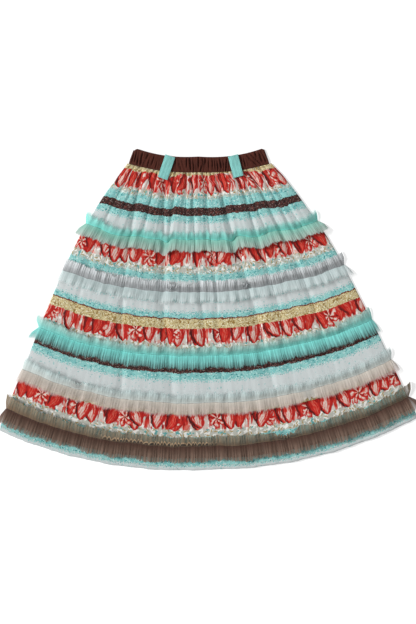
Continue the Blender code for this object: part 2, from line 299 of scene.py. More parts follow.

# The tulle's hairs, clouds and patches for each gather, how far in and out each of them
# pulls the raw edge, and how dark the painted shade along the seam is
HAIRS, CLOUDS, PATCHES = 2.6, 0.45, 0.13
HAIRS_PULL, CLOUDS_PULL, PATCHES_PULL = 0.30, 0.40, 0.60
SEAM_PAINTED_SHADE = 0.42

# Stretches where a flap is folded back onto itself or bunched up, with the share of its width
# that it keeps there
Ruck = namedtuple("Ruck", "ruffle flap start end keep")
RUCKS = [Ruck(*row) for row in (
    ("ruffle_5_cocoa", 0, 0.34, 0.42, 0.55),
    ("ruffle_2_ice", 0, -0.23, -0.17, 0.80),
    ("ruffle_2_ice", 0, -0.12, -0.09, 0.82),
    ("ruffle_2_ice", 0, 0.29, 0.34, 0.75),
    ("ruffle_4_ice", 0, -0.73, -0.67, 0.60),
    ("ruffle_4_ice", 1, 0.52, 0.56, 0.75),
)]

# How softly such a stretch starts and ends, as a share of half the skirt's width
RUCK_BLEND = 0.022

# Arches along a folded or sprung edge: how many a gather has, how round they are, and how
# deeply they scallop a fold
ARCHES_A_GATHER = 0.42
ARCH_POWER = 0.65
FOLD_SCALLOP = 0.55

# Stretches where a flap's gathers spring open into a row of loops above its seam, the shares
# of the flap's width at which the loops start and end, and how high they stand off it; then
# how broad the loops' rims are
Sprung = namedtuple("Sprung", "ruffle flap start end foot top height")
SPRUNG = [
    Sprung("ruffle_5_cocoa", 0, -0.52, 0.03, 0.06, 0.52, 0.0010),
]
LOOP_RIDGE = 0.14

# The rims of folded and sprung tulle: how wide they are as shares of the flap's width, and
# on each strip the colour of the rim, lighter as a painted highlight, and of the inside of
# the fold, darker as painted shade
FOLD_RIM_WIDTHS = (0.04, 0.13)
FOLD_RIM_HIGHLIGHT_AND_SHADE = {
    "ruffle_2_ice": ((224, 226, 226), (150, 154, 156)),
    "ruffle_4_ice": ((220, 222, 218), (180, 182, 178)),
    "ruffle_5_cocoa": ((192, 162, 128), (80, 60, 46)),
}

# Places where a flap has rolled up into a small curl: the strip, the place across, how far
# above the seam its middle lies, and its radius; then how often it winds round, and how high
# its foot and the rest of it are
Curl = namedtuple("Curl", "ruffle across above radius")
CURLS = [Curl(*row) for row in (
    ("ruffle_2_ice", -0.245, 0.012, 0.0062),
    ("ruffle_2_ice", 0.300, 0.010, 0.0058),
)]
CURL_TURNS = 1.2
CURL_FOOT = 0.0030
CURL_HEIGHT = 0.0085

# Where a strip's seam wanders off its line: the place across, and how far down it lies
SEAM_WANDER = {
    "ruffle_1_mint": [
        (-1.00, -0.002), (-0.88, -0.001), (-0.76, 0.004), (-0.62, 0.001), (-0.50, -0.003),
        (-0.37, -0.001), (-0.30, 0.003), (-0.23, -0.003), (0.00, -0.003), (0.18, -0.002),
        (0.26, 0.004), (0.33, -0.003), (0.47, 0.003), (0.60, -0.002), (1.00, 0.000),
    ],
}

# Folds pressed into the waistband's front by its elastic: where each lies at half height, how
# far its top leans to the right, its depth and half width, and the heights it runs between
BandFold = namedtuple("BandFold", "across lean depth width low high")
BAND_FOLDS = [BandFold(*row) for row in (
    (-0.985, -0.030, 0.0018, 0.009, 0.10, 0.90), (-0.952, -0.035, 0.0022, 0.009, 0.15, 0.85),
    (-0.912, -0.050, 0.0018, 0.011, 0.00, 0.50), (-0.862, -0.020, 0.0030, 0.010, 0.05, 0.90),
    (-0.835, 0.030, 0.0012, 0.008, 0.10, 0.60), (-0.795, 0.050, 0.0020, 0.013, 0.50, 0.95),
    (-0.745, 0.000, 0.0012, 0.009, 0.00, 0.70), (-0.690, 0.020, 0.0016, 0.009, 0.20, 0.90),
    (-0.625, 0.010, 0.0012, 0.008, 0.00, 0.60), (-0.345, -0.050, 0.0014, 0.011, 0.30, 0.90),
    (-0.290, -0.120, 0.0016, 0.010, 0.10, 0.60), (-0.235, -0.100, 0.0012, 0.009, 0.30, 0.80),
    (-0.180, -0.015, 0.0024, 0.007, 0.30, 0.95), (-0.122, -0.030, 0.0034, 0.010, 0.10, 0.95),
    (-0.075, -0.020, 0.0012, 0.008, 0.00, 0.60), (0.005, 0.000, 0.0030, 0.011, 0.25, 1.00),
    (0.048, 0.030, 0.0028, 0.009, 0.00, 0.50), (0.070, 0.000, 0.0018, 0.006, 0.20, 1.00),
    (0.105, 0.020, 0.0024, 0.014, 0.50, 0.95), (0.155, 0.000, 0.0012, 0.009, 0.10, 0.90),
    (0.212, 0.010, 0.0018, 0.008, 0.20, 0.90), (0.250, -0.010, 0.0012, 0.007, 0.10, 0.80),
    (0.290, 0.010, 0.0018, 0.009, 0.00, 0.70), (0.338, -0.020, 0.0028, 0.010, 0.20, 0.90),
    (0.375, 0.020, 0.0014, 0.008, 0.00, 0.60), (0.420, 0.050, 0.0030, 0.008, 0.00, 0.90),
    (0.648, 0.020, 0.0024, 0.011, 0.30, 0.90), (0.684, -0.010, 0.0022, 0.010, 0.10, 0.80),
    (0.795, -0.150, 0.0034, 0.011, 0.05, 0.90), (0.852, -0.150, 0.0024, 0.010, 0.10, 0.85),
    (0.880, -0.020, 0.0022, 0.011, 0.60, 1.00), (0.932, 0.000, 0.0028, 0.013, 0.20, 0.80),
    (0.972, -0.030, 0.0018, 0.009, 0.10, 0.90),
)]

# How much wider and deeper those folds show than they are listed, how high the casing stands
# between them, and the lowest and highest that it may ripple
BAND_FOLD_WIDER = 1.15
BAND_FOLD_DEEPER = 2.0
BAND_RIPPLE = 0.0009
BAND_RIPPLE_RANGE = (-0.0023, 0.0036)

# The waistband's top corners are rounded: how far in and how far down, left and right
BAND_CORNERS = ((0.050, 0.20), (0.028, 0.10))

# The casing's columns along its front and back, its points round its wall, its fullness, the
# length that it was cut to, and how high its gathers stand in the frame
BAND_FRONT_COLUMNS = 721
BAND_BACK_COLUMNS = 91
BAND_WALL_POINTS = 36
BAND_FULLNESS = 1.6
BAND_CUT = 0.70
BAND_GATHER_HEIGHT = 0.0012

# Belt loops: the angle of their head and foot, and how far they reach below the band; then
# their width, their wall, how loosely they pass the band and the length that they were cut
# to; how far from their middle the stitches run, how crowned they are, and how deep and
# wide a dent the stitches make
Loop = namedtuple("Loop", "name head_angle foot_angle below_band")
LOOPS = [Loop(*row) for row in (
    ("belt_loop_left", -11.05, -12.00, 0.018),
    ("belt_loop_right", 15.75, 15.20, 0.015),
)]
LOOP_WIDTH = 0.024
LOOP_WALL = 0.0014
LOOP_SLACK = 0.0012
LOOP_CUT = 0.056
LOOP_STITCH_LINE = 0.0098
LOOP_CROWN = 0.0005
LOOP_SEWN_DEPTH = 0.0003
LOOP_SEWN_WIDTH = 0.0007

# Stitches: how far apart they start, how long each shows, the thread's radius, how high it
# lies and how many sides it has; where the waist's row lies as a share of the way down, and
# how far the hem's row lies below the turned edge
STITCH_PITCH = 0.0032
STITCH_LENGTH = 0.0024
THREAD_RADIUS = 0.00026
STITCH_LIFT = 0.0003
THREAD_SIDES = 6
WAIST_STITCHES_DOWN = 0.0045
HEM_STITCHES_LOWER = 0.002

# The sewing threads' colours, by the slot that each is sewn on
THREADS = {
    "printed_cotton": (190, 184, 168),
    "mint_loop": (120, 186, 180),
    "mint_tulle": (86, 158, 150),
    "ice_tulle": (150, 156, 156),
    "cocoa_tulle": (62, 42, 32),
}

# The photograph's frame, and where the fan's centre lies in it
PHOTO_SIZE = (416, 624)
PHOTO_FAN_CENTRE = (196, 25)
PIXEL = 0.0024
LENS = 120
SENSOR = 36

# The studio: where the key light comes from, its power and its spread in degrees, and how
# bright the room, the floor and the floor's own glow are
KEY_FROM = (-0.78, 0.12, 0.70)
KEY_POWER = 2.62
KEY_SPREAD = 14
ROOM_LIGHT = 0.38
FLOOR_SIZE = 12
FLOOR_BELOW = 0.0005
FLOOR_GREY = 0.62
FLOOR_GLOW = 0.55


def through(rows, place):
    """A value that passes smoothly through rows of (place, value)."""
    places, values = np.array(rows).T
    index = np.clip(np.searchsorted(places, place, side="right") - 1, 0, len(places) - 2)
    share = (place - places[index]) / (places[index + 1] - places[index])
    share = np.clip(share, 0, 1)
    share = share * share * (3 - 2 * share)
    return values[index] + (values[index + 1] - values[index]) * share


def uneven(place, seed):
    """A smooth, uneven value between about -1 and 1 that changes with a place."""
    return (
        0.5 * np.sin(2.3 * place + 1.7 * seed)
        + 0.3 * np.sin(5.1 * place + 2.9 * seed)
        + 0.2 * np.sin(11.7 * place + 4.3 * seed)
    )


def unit(vectors):
    """The vectors at a length of 1."""
    return vectors / np.linalg.norm(vectors, axis=-1, keepdims=True)


def pairs(first, second):
    """Two grids of values as one grid of pairs, as a UV map holds them."""
    return np.stack(np.broadcast_arrays(first, second), axis=-1)


def section_value(column, down):
    """A column of SECTIONS at shares of the way down, on a smooth curve through its rows."""
    down = np.asarray(down, dtype=float)
    places = np.array([section.down for section in SECTIONS])
    values = np.array([getattr(section, column) for section in SECTIONS])
    last = len(SECTIONS) - 1
    upper = np.clip(np.searchsorted(places, np.maximum(down, 0), side="right") - 1, 0, last - 1)
    before, after = np.maximum(upper - 1, 0), np.minimum(upper + 2, last)
    lower = upper + 1
    span = places[lower] - places[upper]
    slope_in = (values[lower] - values[before]) * span / (places[lower] - places[before])
    slope_out = (values[after] - values[upper]) * span / (places[after] - places[upper])
    t = (down - places[upper]) / span
    return (
        (2 * t**3 - 3 * t**2 + 1) * values[upper]
        + (t**3 - 2 * t**2 + t) * slope_in
        + (3 * t**2 - 2 * t**3) * values[lower]
        + (t**3 - t**2) * slope_out
    )


def fan_points(radius, angle, height):
    """Points at that radius from the fan's centre, that many degrees off straight down."""
    turn = np.radians(angle)
    flat = np.stack([radius * np.sin(turn), -radius * np.cos(turn)], axis=-1)
    height = np.broadcast_to(height, flat.shape[:-1])
    return np.concatenate([flat, height[..., None]], axis=-1)


def panel_plan(across, down):
    """Where places on the panels lie, seen from above, from the fan's centre."""
    across, down = np.broadcast_arrays(np.asarray(across, float), np.asarray(down, float))
    sag = section_value("sag", down) * np.abs(across) ** section_value("sag_power", down)
    skew = section_value("skew", down) * across / 2
    radius = WAIST_RADIUS + PANEL_LENGTH * down + sag + skew
    angle = section_value("middle_angle", down) + across * section_value("half_angle", down)
    return fan_points(radius, angle, 0)


def way_down(across, down):
    """The direction towards the hem, seen from above."""
    step = 0.01
    return unit(panel_plan(across, down + step) - panel_plan(across, down - step))


def fan_centre():
    """The fan's centre, found from the front panel's box in the frame."""
    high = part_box("front_panel")[1]
    top_corner = panel_plan(1, 0)
    if panel_plan(-1, 0)[1] > top_corner[1]:
        top_corner = panel_plan(-1, 0)
    return np.array([high[0] - panel_plan(1, 1)[0], high[1] - top_corner[1], 0])


CENTRE = fan_centre()


# The cloth's relief


def crease_side(crease, across, down):
    """How far a place lies to the side of a crease, in that side's widths: left is below 0."""
    middle = crease.top + (crease.halfway - crease.top) * np.sqrt(np.clip(2 * down, 0, 1.6))
    aside = across - middle - 0.006 * np.sin(13 * down + 40 * crease.top)
    return aside / np.where(aside < 0, crease.left, crease.right)


def crease_shape(crease, across, down):
    """How strongly a crease acts at a place, from 0 to 1."""
    fading = np.clip(1 - down / crease.reach, 0, 1) ** 0.8
    return fading * np.exp(-np.abs(crease_side(crease, across, down)) ** 1.1)


def crease_pull(across, down):
    """How far the creases drag the print down the skirt, as a share of its length."""
    pull = 0
    for crease in CREASES:
        past = 0.5 * (1 + np.tanh(1.5 * crease_side(crease, across, down)))
        fading = np.exp(-((down / (0.9 * crease.reach)) ** 2))
        pull = pull + crease.step * (past - 0.5 * (1 + across)) * fading
    raised = 0.005 * (1 - np.abs(across) ** 1.6) * np.exp(-((down / 0.055) ** 2))
    return pull / PANEL_LENGTH + 0.0016 * uneven(9 * across, 3) - raised


def tucks(across, down):
    """Where the tucks under the waistband have drifted to, and their phase."""
    drift = across - 0.10 * np.sqrt(np.maximum(down, 0)) * np.sign(across) * np.abs(across)
    return drift, TUCKS * math.pi * (drift + 0.024 * uneven(4 * drift, 1))


def waist_gathers(across, down):
    """The small tucks under the waistband, which fade on their way down."""
    drift, phase = tucks(across, down)
    sharp = np.abs(np.sin(phase / 2)) ** 0.8 - 0.55
    small = 0.5 * np.sin(2.3 * phase + 1)
    reach = TUCK_REACH * (1 + 0.9 * uneven(7 * drift, 2))
    fading = np.exp(-((np.maximum(down, 0) / reach) ** 1.3))
    height = TUCK_HEIGHT * (0.75 + 0.45 * uneven(9 * drift, 12))
    return height * fading * (sharp + 0.35 * small * np.exp(-down / 0.02))


def hidden_cloth(across, down):
    """How much of the cloth lies hidden in the folds at a place, against other places."""
    hidden = 0.02 + 0 * (across + down)
    for crease in CREASES:
        side = crease_side(crease, across, down)
        fading = np.clip(1 - down / (1.3 * crease.reach), 0, 1)
        hidden = hidden + 140 * crease.depth * fading * np.exp(-(((side - 0.35) / 0.30) ** 2))
    phase = tucks(across, down)[1]
    tuck = np.exp(-((np.sin(phase / 2) / 0.22) ** 2))
    return hidden + 0.9 * tuck * np.exp(-((np.maximum(down, 0) / 0.05) ** 1.3))


def soft_relief(across, down):
    """Low folds between the creases, and the puckers that the ruffles' stitching makes."""
    folds = SOFT_FOLD * uneven(11 * across + 0.8 * down, 5) * np.exp(-down / 0.7)
    folds = folds + CROSS_FOLD * uneven(17 * across - 1.3 * down, 7)
    puckers = 0
    for ruffle in RUFFLES:
        near = np.exp(-(((down - ruffle.down) * PANEL_LENGTH / PUCKER_REACH) ** 2))
        wave = np.sin(PUCKERS * across + 2 * uneven(5 * across, 4))
        puckers = puckers + PUCKER_HEIGHT * near * wave
    return folds + puckers


def front_height(across, down):
    """How high the front panel lies."""
    across, down = np.broadcast_arrays(np.asarray(across, float), np.asarray(down, float))
    rounded_side = np.sqrt(np.maximum(0, 1 - np.abs(across) ** 8))
    lift = FRONT_FULLER * section_value("puff", down) * rounded_side
    sunk = 0
    for crease in CREASES:
        sunk = sunk + crease.depth * crease_shape(crease, across, down)
    lift = lift * (1 - np.tanh(sunk / np.maximum(lift, 0.0002))) + 0.0008
    lift = lift + (waist_gathers(across, down) + soft_relief(across, down)) * rounded_side
    above_fold = (1 - down) * PANEL_LENGTH - TURNED_HEM
    hem_fold = HEM_FOLD * (1 - np.tanh(above_fold / HEM_FOLD_EDGE))
    return FRONT_REST + np.maximum(lift, 0) + hem_fold


def front_points(across, down):
    """Points on the front panel, whose hem runs a little wavy."""
    points = panel_plan(across, down).copy()
    points[..., 2] = front_height(across, down)
    run = unit(np.concatenate([points[..., :2], 0 * points[..., 2:]], axis=-1))
    wavy = HEM_WANDER * uneven(13 * np.asarray(across, float), 9) * np.asarray(down, float) ** 10
    return points + run * np.broadcast_to(wavy, points.shape[:-1])[..., None]


# Meshes


def new_piece(name, points, faces, look):
    """A smooth piece through points that are measured from the fan's centre."""
    mesh = bpy.data.meshes.new(name)
    mesh.from_pydata((points.reshape(-1, 3) + CENTRE).tolist(), [], faces)
    mesh.polygons.foreach_set("use_smooth", np.ones(len(mesh.polygons), dtype=bool))
    mesh.materials.append(look)
    made = bpy.data.objects.new(name, mesh)
    bpy.context.scene.collection.objects.link(made)
    return made


def cloth_mesh(name, points, maps, look, closed=False, wall=None, offset=-1):
    """A sheet through a grid of points, with named UV maps such as its cut in metres."""
    rows, columns = points.shape[:2]
    index = np.arange(rows * columns).reshape(rows, columns)
    if closed:
        index = np.concatenate([index, index[:, :1]], axis=1)
    corners = (index[1:, :-1], index[1:, 1:], index[:-1, 1:], index[:-1, :-1])
    faces = np.stack([corner.ravel() for corner in corners], axis=1)
    made = new_piece(name, points, faces.tolist(), look)
    mesh = made.data
    loops = np.empty(len(mesh.loops), dtype=np.int32)
    mesh.loops.foreach_get("vertex_index", loops)
    for label, values in maps.items():
        layer = mesh.uv_layers.new(name=label)
        layer.data.foreach_set("uv", values.reshape(-1, 2)[loops].ravel())
    if wall:
        solidify = made.modifiers.new("wall", "SOLIDIFY")
        solidify.thickness = wall
        solidify.offset = offset
        apply_modifiers(made)
    return made


def select_only(piece):
    """Selects the piece alone and makes it active."""
    for other in bpy.context.selected_objects:
        other.select_set(False)
    bpy.context.view_layer.objects.active = piece
    piece.select_set(True)


def apply_modifiers(piece):
    """Leaves the piece with its finished mesh and no modifiers."""
    select_only(piece)
    for modifier in list(piece.modifiers):
        bpy.ops.object.modifier_apply(modifier=modifier.name)
    piece.select_set(False)


def weld(piece):
    """Merges points that lie on each other and turns the faces outwards."""
    select_only(piece)
    bpy.ops.object.mode_set(mode="EDIT")
    bpy.ops.mesh.select_all(action="SELECT")
    bpy.ops.mesh.remove_doubles(threshold=1e-6)
    bpy.ops.mesh.normals_make_consistent(inside=False)
    bpy.ops.object.mode_set(mode="OBJECT")
    piece.select_set(False)


def cut_map(points, down, hidden=None):
    """Cut coordinates: how far across the flat cloth, and how far down it, a point lies.

    Cloth that the surface doesn't show lies in the folds, where hidden is high.
    """
    steps = np.linalg.norm(np.diff(points, axis=1), axis=2)
    width = WAIST_CUT + (HEM_CUT - WAIST_CUT) * down
    if hidden is None:
        hidden = np.ones(points.shape[:2])
    share = (hidden[:, 1:] + hidden[:, :-1]) / 2 * steps
    spare = np.maximum(0, width - steps.sum(axis=1, keepdims=True))
    steps = steps + spare * share / share.sum(axis=1, keepdims=True)
    along = np.concatenate([np.zeros((len(points), 1)), np.cumsum(steps, axis=1)], axis=1)
    sideways = along - along[:, -1:] / 2
    return np.stack([sideways, np.broadcast_to(down * PANEL_LENGTH, along.shape)], axis=-1)


# Shader nodes


def add(tree, kind, inputs=(), **settings):
    """Adds a node with its settings, and links or sets its inputs by name or place."""
    made = tree.nodes.new(kind)
    for name, value in settings.items():
        setattr(made, name, value)
    for key, value in dict(inputs).items():
        if isinstance(value, bpy.types.NodeSocket):
            tree.links.new(value, made.inputs[key])
        else:
            made.inputs[key].default_value = value
    return made


def calc(tree, operation, *values, clamp=False):
    """A sum on values or sockets, clamped between 0 and 1 if asked."""
    made = add(tree, "ShaderNodeMath", enumerate(values), operation=operation, use_clamp=clamp)
    return made.outputs[0]


def times(tree, first, second, clamp=False):
    """The product of two values."""
    return calc(tree, "MULTIPLY", first, second, clamp=clamp)


def scaled(tree, value, factor, added, clamp=False):
    """A value times a factor, and something added to that."""
    return calc(tree, "MULTIPLY_ADD", value, factor, added, clamp=clamp)


def step(tree, value, start, end):
    """0 where the value is below start, 1 above end, and smooth between them."""
    inputs = {"Value": value, "From Min": start, "From Max": end}
    made = add(tree, "ShaderNodeMapRange", inputs, interpolation_type="SMOOTHSTEP")
    return made.outputs["Result"]


def falling(tree, value, start, end):
    """1 where the value is below start, 0 above end, and smooth between them."""
    return calc(tree, "SUBTRACT", 1.0, step(tree, value, start, end))


def blend(tree, share, first, second):
    """Two values mixed by a share of the second."""
    made = add(tree, "ShaderNodeMix", {0: share, 2: first, 3: second}, data_type="FLOAT")
    return made.outputs[0]


def mix(tree, share, first, second, kind="MIX"):
    """Two colours mixed by a share of the second."""
    inputs = {0: share, 6: first, 7: second}
    made = add(tree, "ShaderNodeMix", inputs, data_type="RGBA", blend_type=kind)
    return made.outputs[2]


def shaded(tree, colour, value):
    """A colour made darker or lighter by a value."""
    grey = add(tree, "ShaderNodeCombineColor", {0: value, 1: value, 2: value}).outputs[0]
    return mix(tree, 1.0, colour, grey, "MULTIPLY")


def rgb(colour):
    """A printed colour's name, or 8-bit screen values, as linear light."""
    shares = [value / 255 for value in PRINT_COLOURS.get(colour, colour)]
    linear = [
        share / 12.92 if share <= 0.04045 else ((share + 0.055) / 1.055) ** 2.4
        for share in shares
    ]
    return (*linear, 1)


def ramp(tree, value, stops, interpolation="LINEAR"):
    """A colour through stops of (place, colour), where a colour may be one grey value."""
    made = add(tree, "ShaderNodeValToRGB", {0: value})
    made.color_ramp.interpolation = interpolation
    elements = made.color_ramp.elements
    while len(elements) > 1:
        elements.remove(elements[-1])
    for count, (place, colour) in enumerate(stops):
        element = elements[0] if count == 0 else elements.new(place)
        element.position = place
        element.color = (colour, colour, colour, 1) if isinstance(colour, float) else rgb(colour)
    return made.outputs["Color"]


def xyz(tree, vector):
    """A vector's three parts."""
    return list(add(tree, "ShaderNodeSeparateXYZ", {0: vector}).outputs)


def uv(tree, name):
    """The piece's own UV map of that name."""
    return add(tree, "ShaderNodeUVMap", uv_map=name).outputs["UV"]


def turned_about(tree, vector, angle):
    """A vector turned in its plane."""
    inputs = {"Vector": vector, "Angle": angle}
    return add(tree, "ShaderNodeVectorRotate", inputs, rotation_type="Z_AXIS").outputs[0]


def moved(tree, vector, x, y):
    """The vector moved, so that a second noise doesn't repeat the first."""
    inputs = {0: vector, 1: (x, y, 0)}
    return add(tree, "ShaderNodeVectorMath", inputs, operation="ADD").outputs[0]


def speckle(tree, vector, per_metre, detail=2, stretch=(1, 1, 1)):
    """Noise from 0 to 1 with that many grains a metre."""
    stretched = add(tree, "ShaderNodeVectorMath", {0: vector, 1: stretch}, operation="MULTIPLY")
    inputs = {"Vector": stretched.outputs[0], "Scale": per_metre, "Detail": detail}
    return add(tree, "ShaderNodeTexNoise", inputs).outputs["Fac"]


def mottle(tree, *how):
    """Speckle that lies as far below 0 as above it."""
    return calc(tree, "SUBTRACT", speckle(tree, *how), 0.5)


def ridges(tree, vector, per_metre, width):
    """Thin wandering lines, as of piped or scribbled strokes, from 0 to 1."""
    wandering = speckle(tree, vector, per_metre, 1)
    off = calc(tree, "ABSOLUTE", calc(tree, "SUBTRACT", wandering, 0.5))
    return falling(tree, off, width * 0.4, width)


def new_group(name, inputs, outputs):
    """A node group with named sockets: (name, kind, default) in, and (name, kind) out."""
    group = bpy.data.node_groups.new(name, "ShaderNodeTree")
    for label, kind, default in inputs:
        made = group.interface.new_socket(label, in_out="INPUT", socket_type=kind)
        if default is not None:
            made.default_value = default
    for label, kind in outputs:
        group.interface.new_socket(label, in_out="OUTPUT", socket_type=kind)
    return group, group.nodes.new("NodeGroupInput"), group.nodes.new("NodeGroupOutput")


# The print


def motif_nodes(name):
    """A node group for a motif: its place about the motif's middle, its turn and a chance."""
    return new_group(
        name,
        [("Place", "NodeSocketVector", None), ("Turn", "NodeSocketFloat", 0.0),
         ("Random", "NodeSocketFloat", 0.5)],
        [("Mask", "NodeSocketFloat"), ("Color", "NodeSocketColor")],
    )


def flower_group():
    """A flower with six broad pointed petals, pale along some middles, its radius 1."""
    group, given, put = motif_nodes("printed_flower")
    place = given.outputs["Place"]
    x, y, _ = xyz(group, place)
    angle = calc(group, "ARCTAN2", y, x)
    angle = calc(group, "ADD", angle, given.outputs["Turn"])
    length = add(group, "ShaderNodeVectorMath", {0: place}, operation="LENGTH").outputs["Value"]
    wobble = mottle(group, place, 1.3)
    bend = scaled(group, length, 0.55, scaled(group, wobble, 1.4, angle))
    lobes = calc(group, "ABSOLUTE", calc(group, "COSINE", times(group, bend, 3.0)))
    reach = scaled(group, calc(group, "POWER", lobes, 0.9), 0.48, 0.55)
    share = calc(group, "DIVIDE", length, reach)
    streaks = mottle(group, place, 4.0)
    flank = scaled(group, streaks, 1.2, lobes)
    lobe = ramp(group, flank, FLOWER_COLOURS)
    tip = step(group, share, 0.60, 0.92)
    colour = mix(group, tip, lobe, rgb(FLOWER_TIP))
    heart = falling(group, length, 0.05, 0.13)
    colour = mix(group, heart, colour, rgb(FLOWER_HEART))
    group.links.new(colour, put.inputs["Color"])
    ragged = scaled(group, streaks, 0.45, share)
    inside = falling(group, ragged, 0.92, 1.02)
    group.links.new(inside, put.inputs["Mask"])
    return group


def petal_group():
    """A loose petal, streaked, dark along one flank and with a pale middle on some."""
    group, given, put = motif_nodes("printed_petal")
    chance = given.outputs["Random"]
    turned = turned_about(group, given.outputs["Place"], given.outputs["Turn"])
    x, y, _ = xyz(group, turned)
    lower = scaled(group, y, 0.5, 0.5, clamp=True)
    full = times(group, calc(group, "POWER", lower, 0.40),
                calc(group, "POWER", calc(group, "SUBTRACT", 1.0, lower), 0.60))
    width = scaled(group, full, 1.28, 0.001)
    streaks = mottle(group, turned, 1.5, 3, (5, 1.1, 1))
    bow = times(group, calc(group, "SUBTRACT", chance, 0.4), times(group, y, y))
    sideways = scaled(group, bow, 0.5, x)
    share = calc(group, "DIVIDE", sideways, width)
    side = scaled(group, share, 0.5, 0.5)
    along = scaled(group, streaks, 1.1, side)
    pale, full_red = ramp(group, along, PALE_PETAL), ramp(group, along, RED_PETAL)
    dyed = calc(group, "GREATER_THAN", chance, 0.58)
    tip = step(group, scaled(group, streaks, 0.4, lower), 0.80, 0.92)
    colour = mix(group, calc(group, "MAXIMUM", dyed, tip), pale, full_red)
    group.links.new(colour, put.inputs["Color"])
    ragged = scaled(group, streaks, 0.8, calc(group, "ABSOLUTE", share))
    inside = falling(group, ragged, 0.90, 1.04)
    group.links.new(inside, put.inputs["Mask"])
    return group


def motif_row(tree, cut, row_middle, nodes, motif):
    """Motifs side by side along the cloth, each in a cell of its own, set unevenly."""
    sideways, down, _ = xyz(tree, cut)
    along = scaled(tree, sideways, 1 / motif.spacing, motif.shift + 90)

    # The cell's number draws three chances of its own
    number = calc(tree, "FLOOR", along)
    seed = scaled(tree, row_middle, 517.0, number)
    seed = calc(tree, "ADD", seed, motif.shift * 31)
    random = add(tree, "ShaderNodeTexWhiteNoise", {"W": seed}, noise_dimensions="1D")
    chances = add(tree, "ShaderNodeSeparateColor", {0: random.outputs["Color"]}).outputs

    # The place about the motif's middle, in half lengths
    aside = calc(tree, "SUBTRACT", calc(tree, "SUBTRACT", along, number), 0.5)
    aside = calc(tree, "SUBTRACT", aside, MOTIF_STRAY / 2)
    aside = scaled(tree, chances[0], MOTIF_STRAY, aside)
    lower = calc(tree, "SUBTRACT", down, row_middle)
    lower = scaled(tree, chances[1], MOTIF_DROP, lower)
    lower = calc(tree, "SUBTRACT", lower, MOTIF_DROP / 2 + motif.lower)
    grow = scaled(tree, chances[2], MOTIF_GROWTH, 0.84)
    aside = times(tree, times(tree, aside, motif.spacing / motif.size), grow)
    lower = times(tree, times(tree, lower, 1 / motif.size), grow)
    place = add(tree, "ShaderNodeCombineXYZ", {"X": aside, "Y": lower}).outputs[0]
    turn = times(tree, calc(tree, "SUBTRACT", chances[0], 0.5), 6.2832 * motif.turn)
    inputs = {"Place": place, "Turn": turn, "Random": chances[2]}
    return add(tree, "ShaderNodeGroup", inputs, node_tree=nodes)


def scattered_leaves(tree, cut, per_metre, length, width):
    """A mask of small leaves strewn over the cloth, each turned its own way."""
    inputs = {"Vector": cut, "Scale": per_metre, "Randomness": 0.9}
    cells = add(tree, "ShaderNodeTexVoronoi", inputs, voronoi_dimensions="2D")
    inputs = {0: cut, 1: cells.outputs["Position"]}
    own = add(tree, "ShaderNodeVectorMath", inputs, operation="SUBTRACT").outputs[0]
    tint = add(tree, "ShaderNodeSeparateColor", {0: cells.outputs["Color"]})
    x, y, _ = xyz(tree, turned_about(tree, own, times(tree, tint.outputs[0], 6.28)))
    along = calc(tree, "DIVIDE", x, length)
    taper = calc(tree, "SUBTRACT", 1.0, times(tree, along, along))
    beside = calc(tree, "DIVIDE", calc(tree, "ABSOLUTE", y), width)
    return step(tree, calc(tree, "SUBTRACT", taper, beside), 0, 0.3)


def brush_strokes(group, cut, row, clear):
    """A mask of painted strokes that come down from under an ochre band and thin out."""
    down = xyz(group, cut)[1]
    below = calc(group, "SUBTRACT", calc(group, "SUBTRACT", down, row), 0.003)
    below = times(group, below, 1 / 0.018)
    strokes = speckle(group, cut, 120, 3, (1, 0.20, 1))
    left = scaled(group, below, -0.055, strokes)
    inside = falling(group, calc(group, "ABSOLUTE", below), 0.9, 1.25)
    painted = times(group, step(group, left, 0.46, 0.53), inside)
    return times(group, painted, clear)


def band_mask(tree, place, *names):
    """1 where the print's bands of those names lie, and 0 elsewhere."""
    stops = [(band.start / PANEL_LENGTH, float(band.colour in names)) for band in BANDS]
    return ramp(tree, place, stops, "CONSTANT")


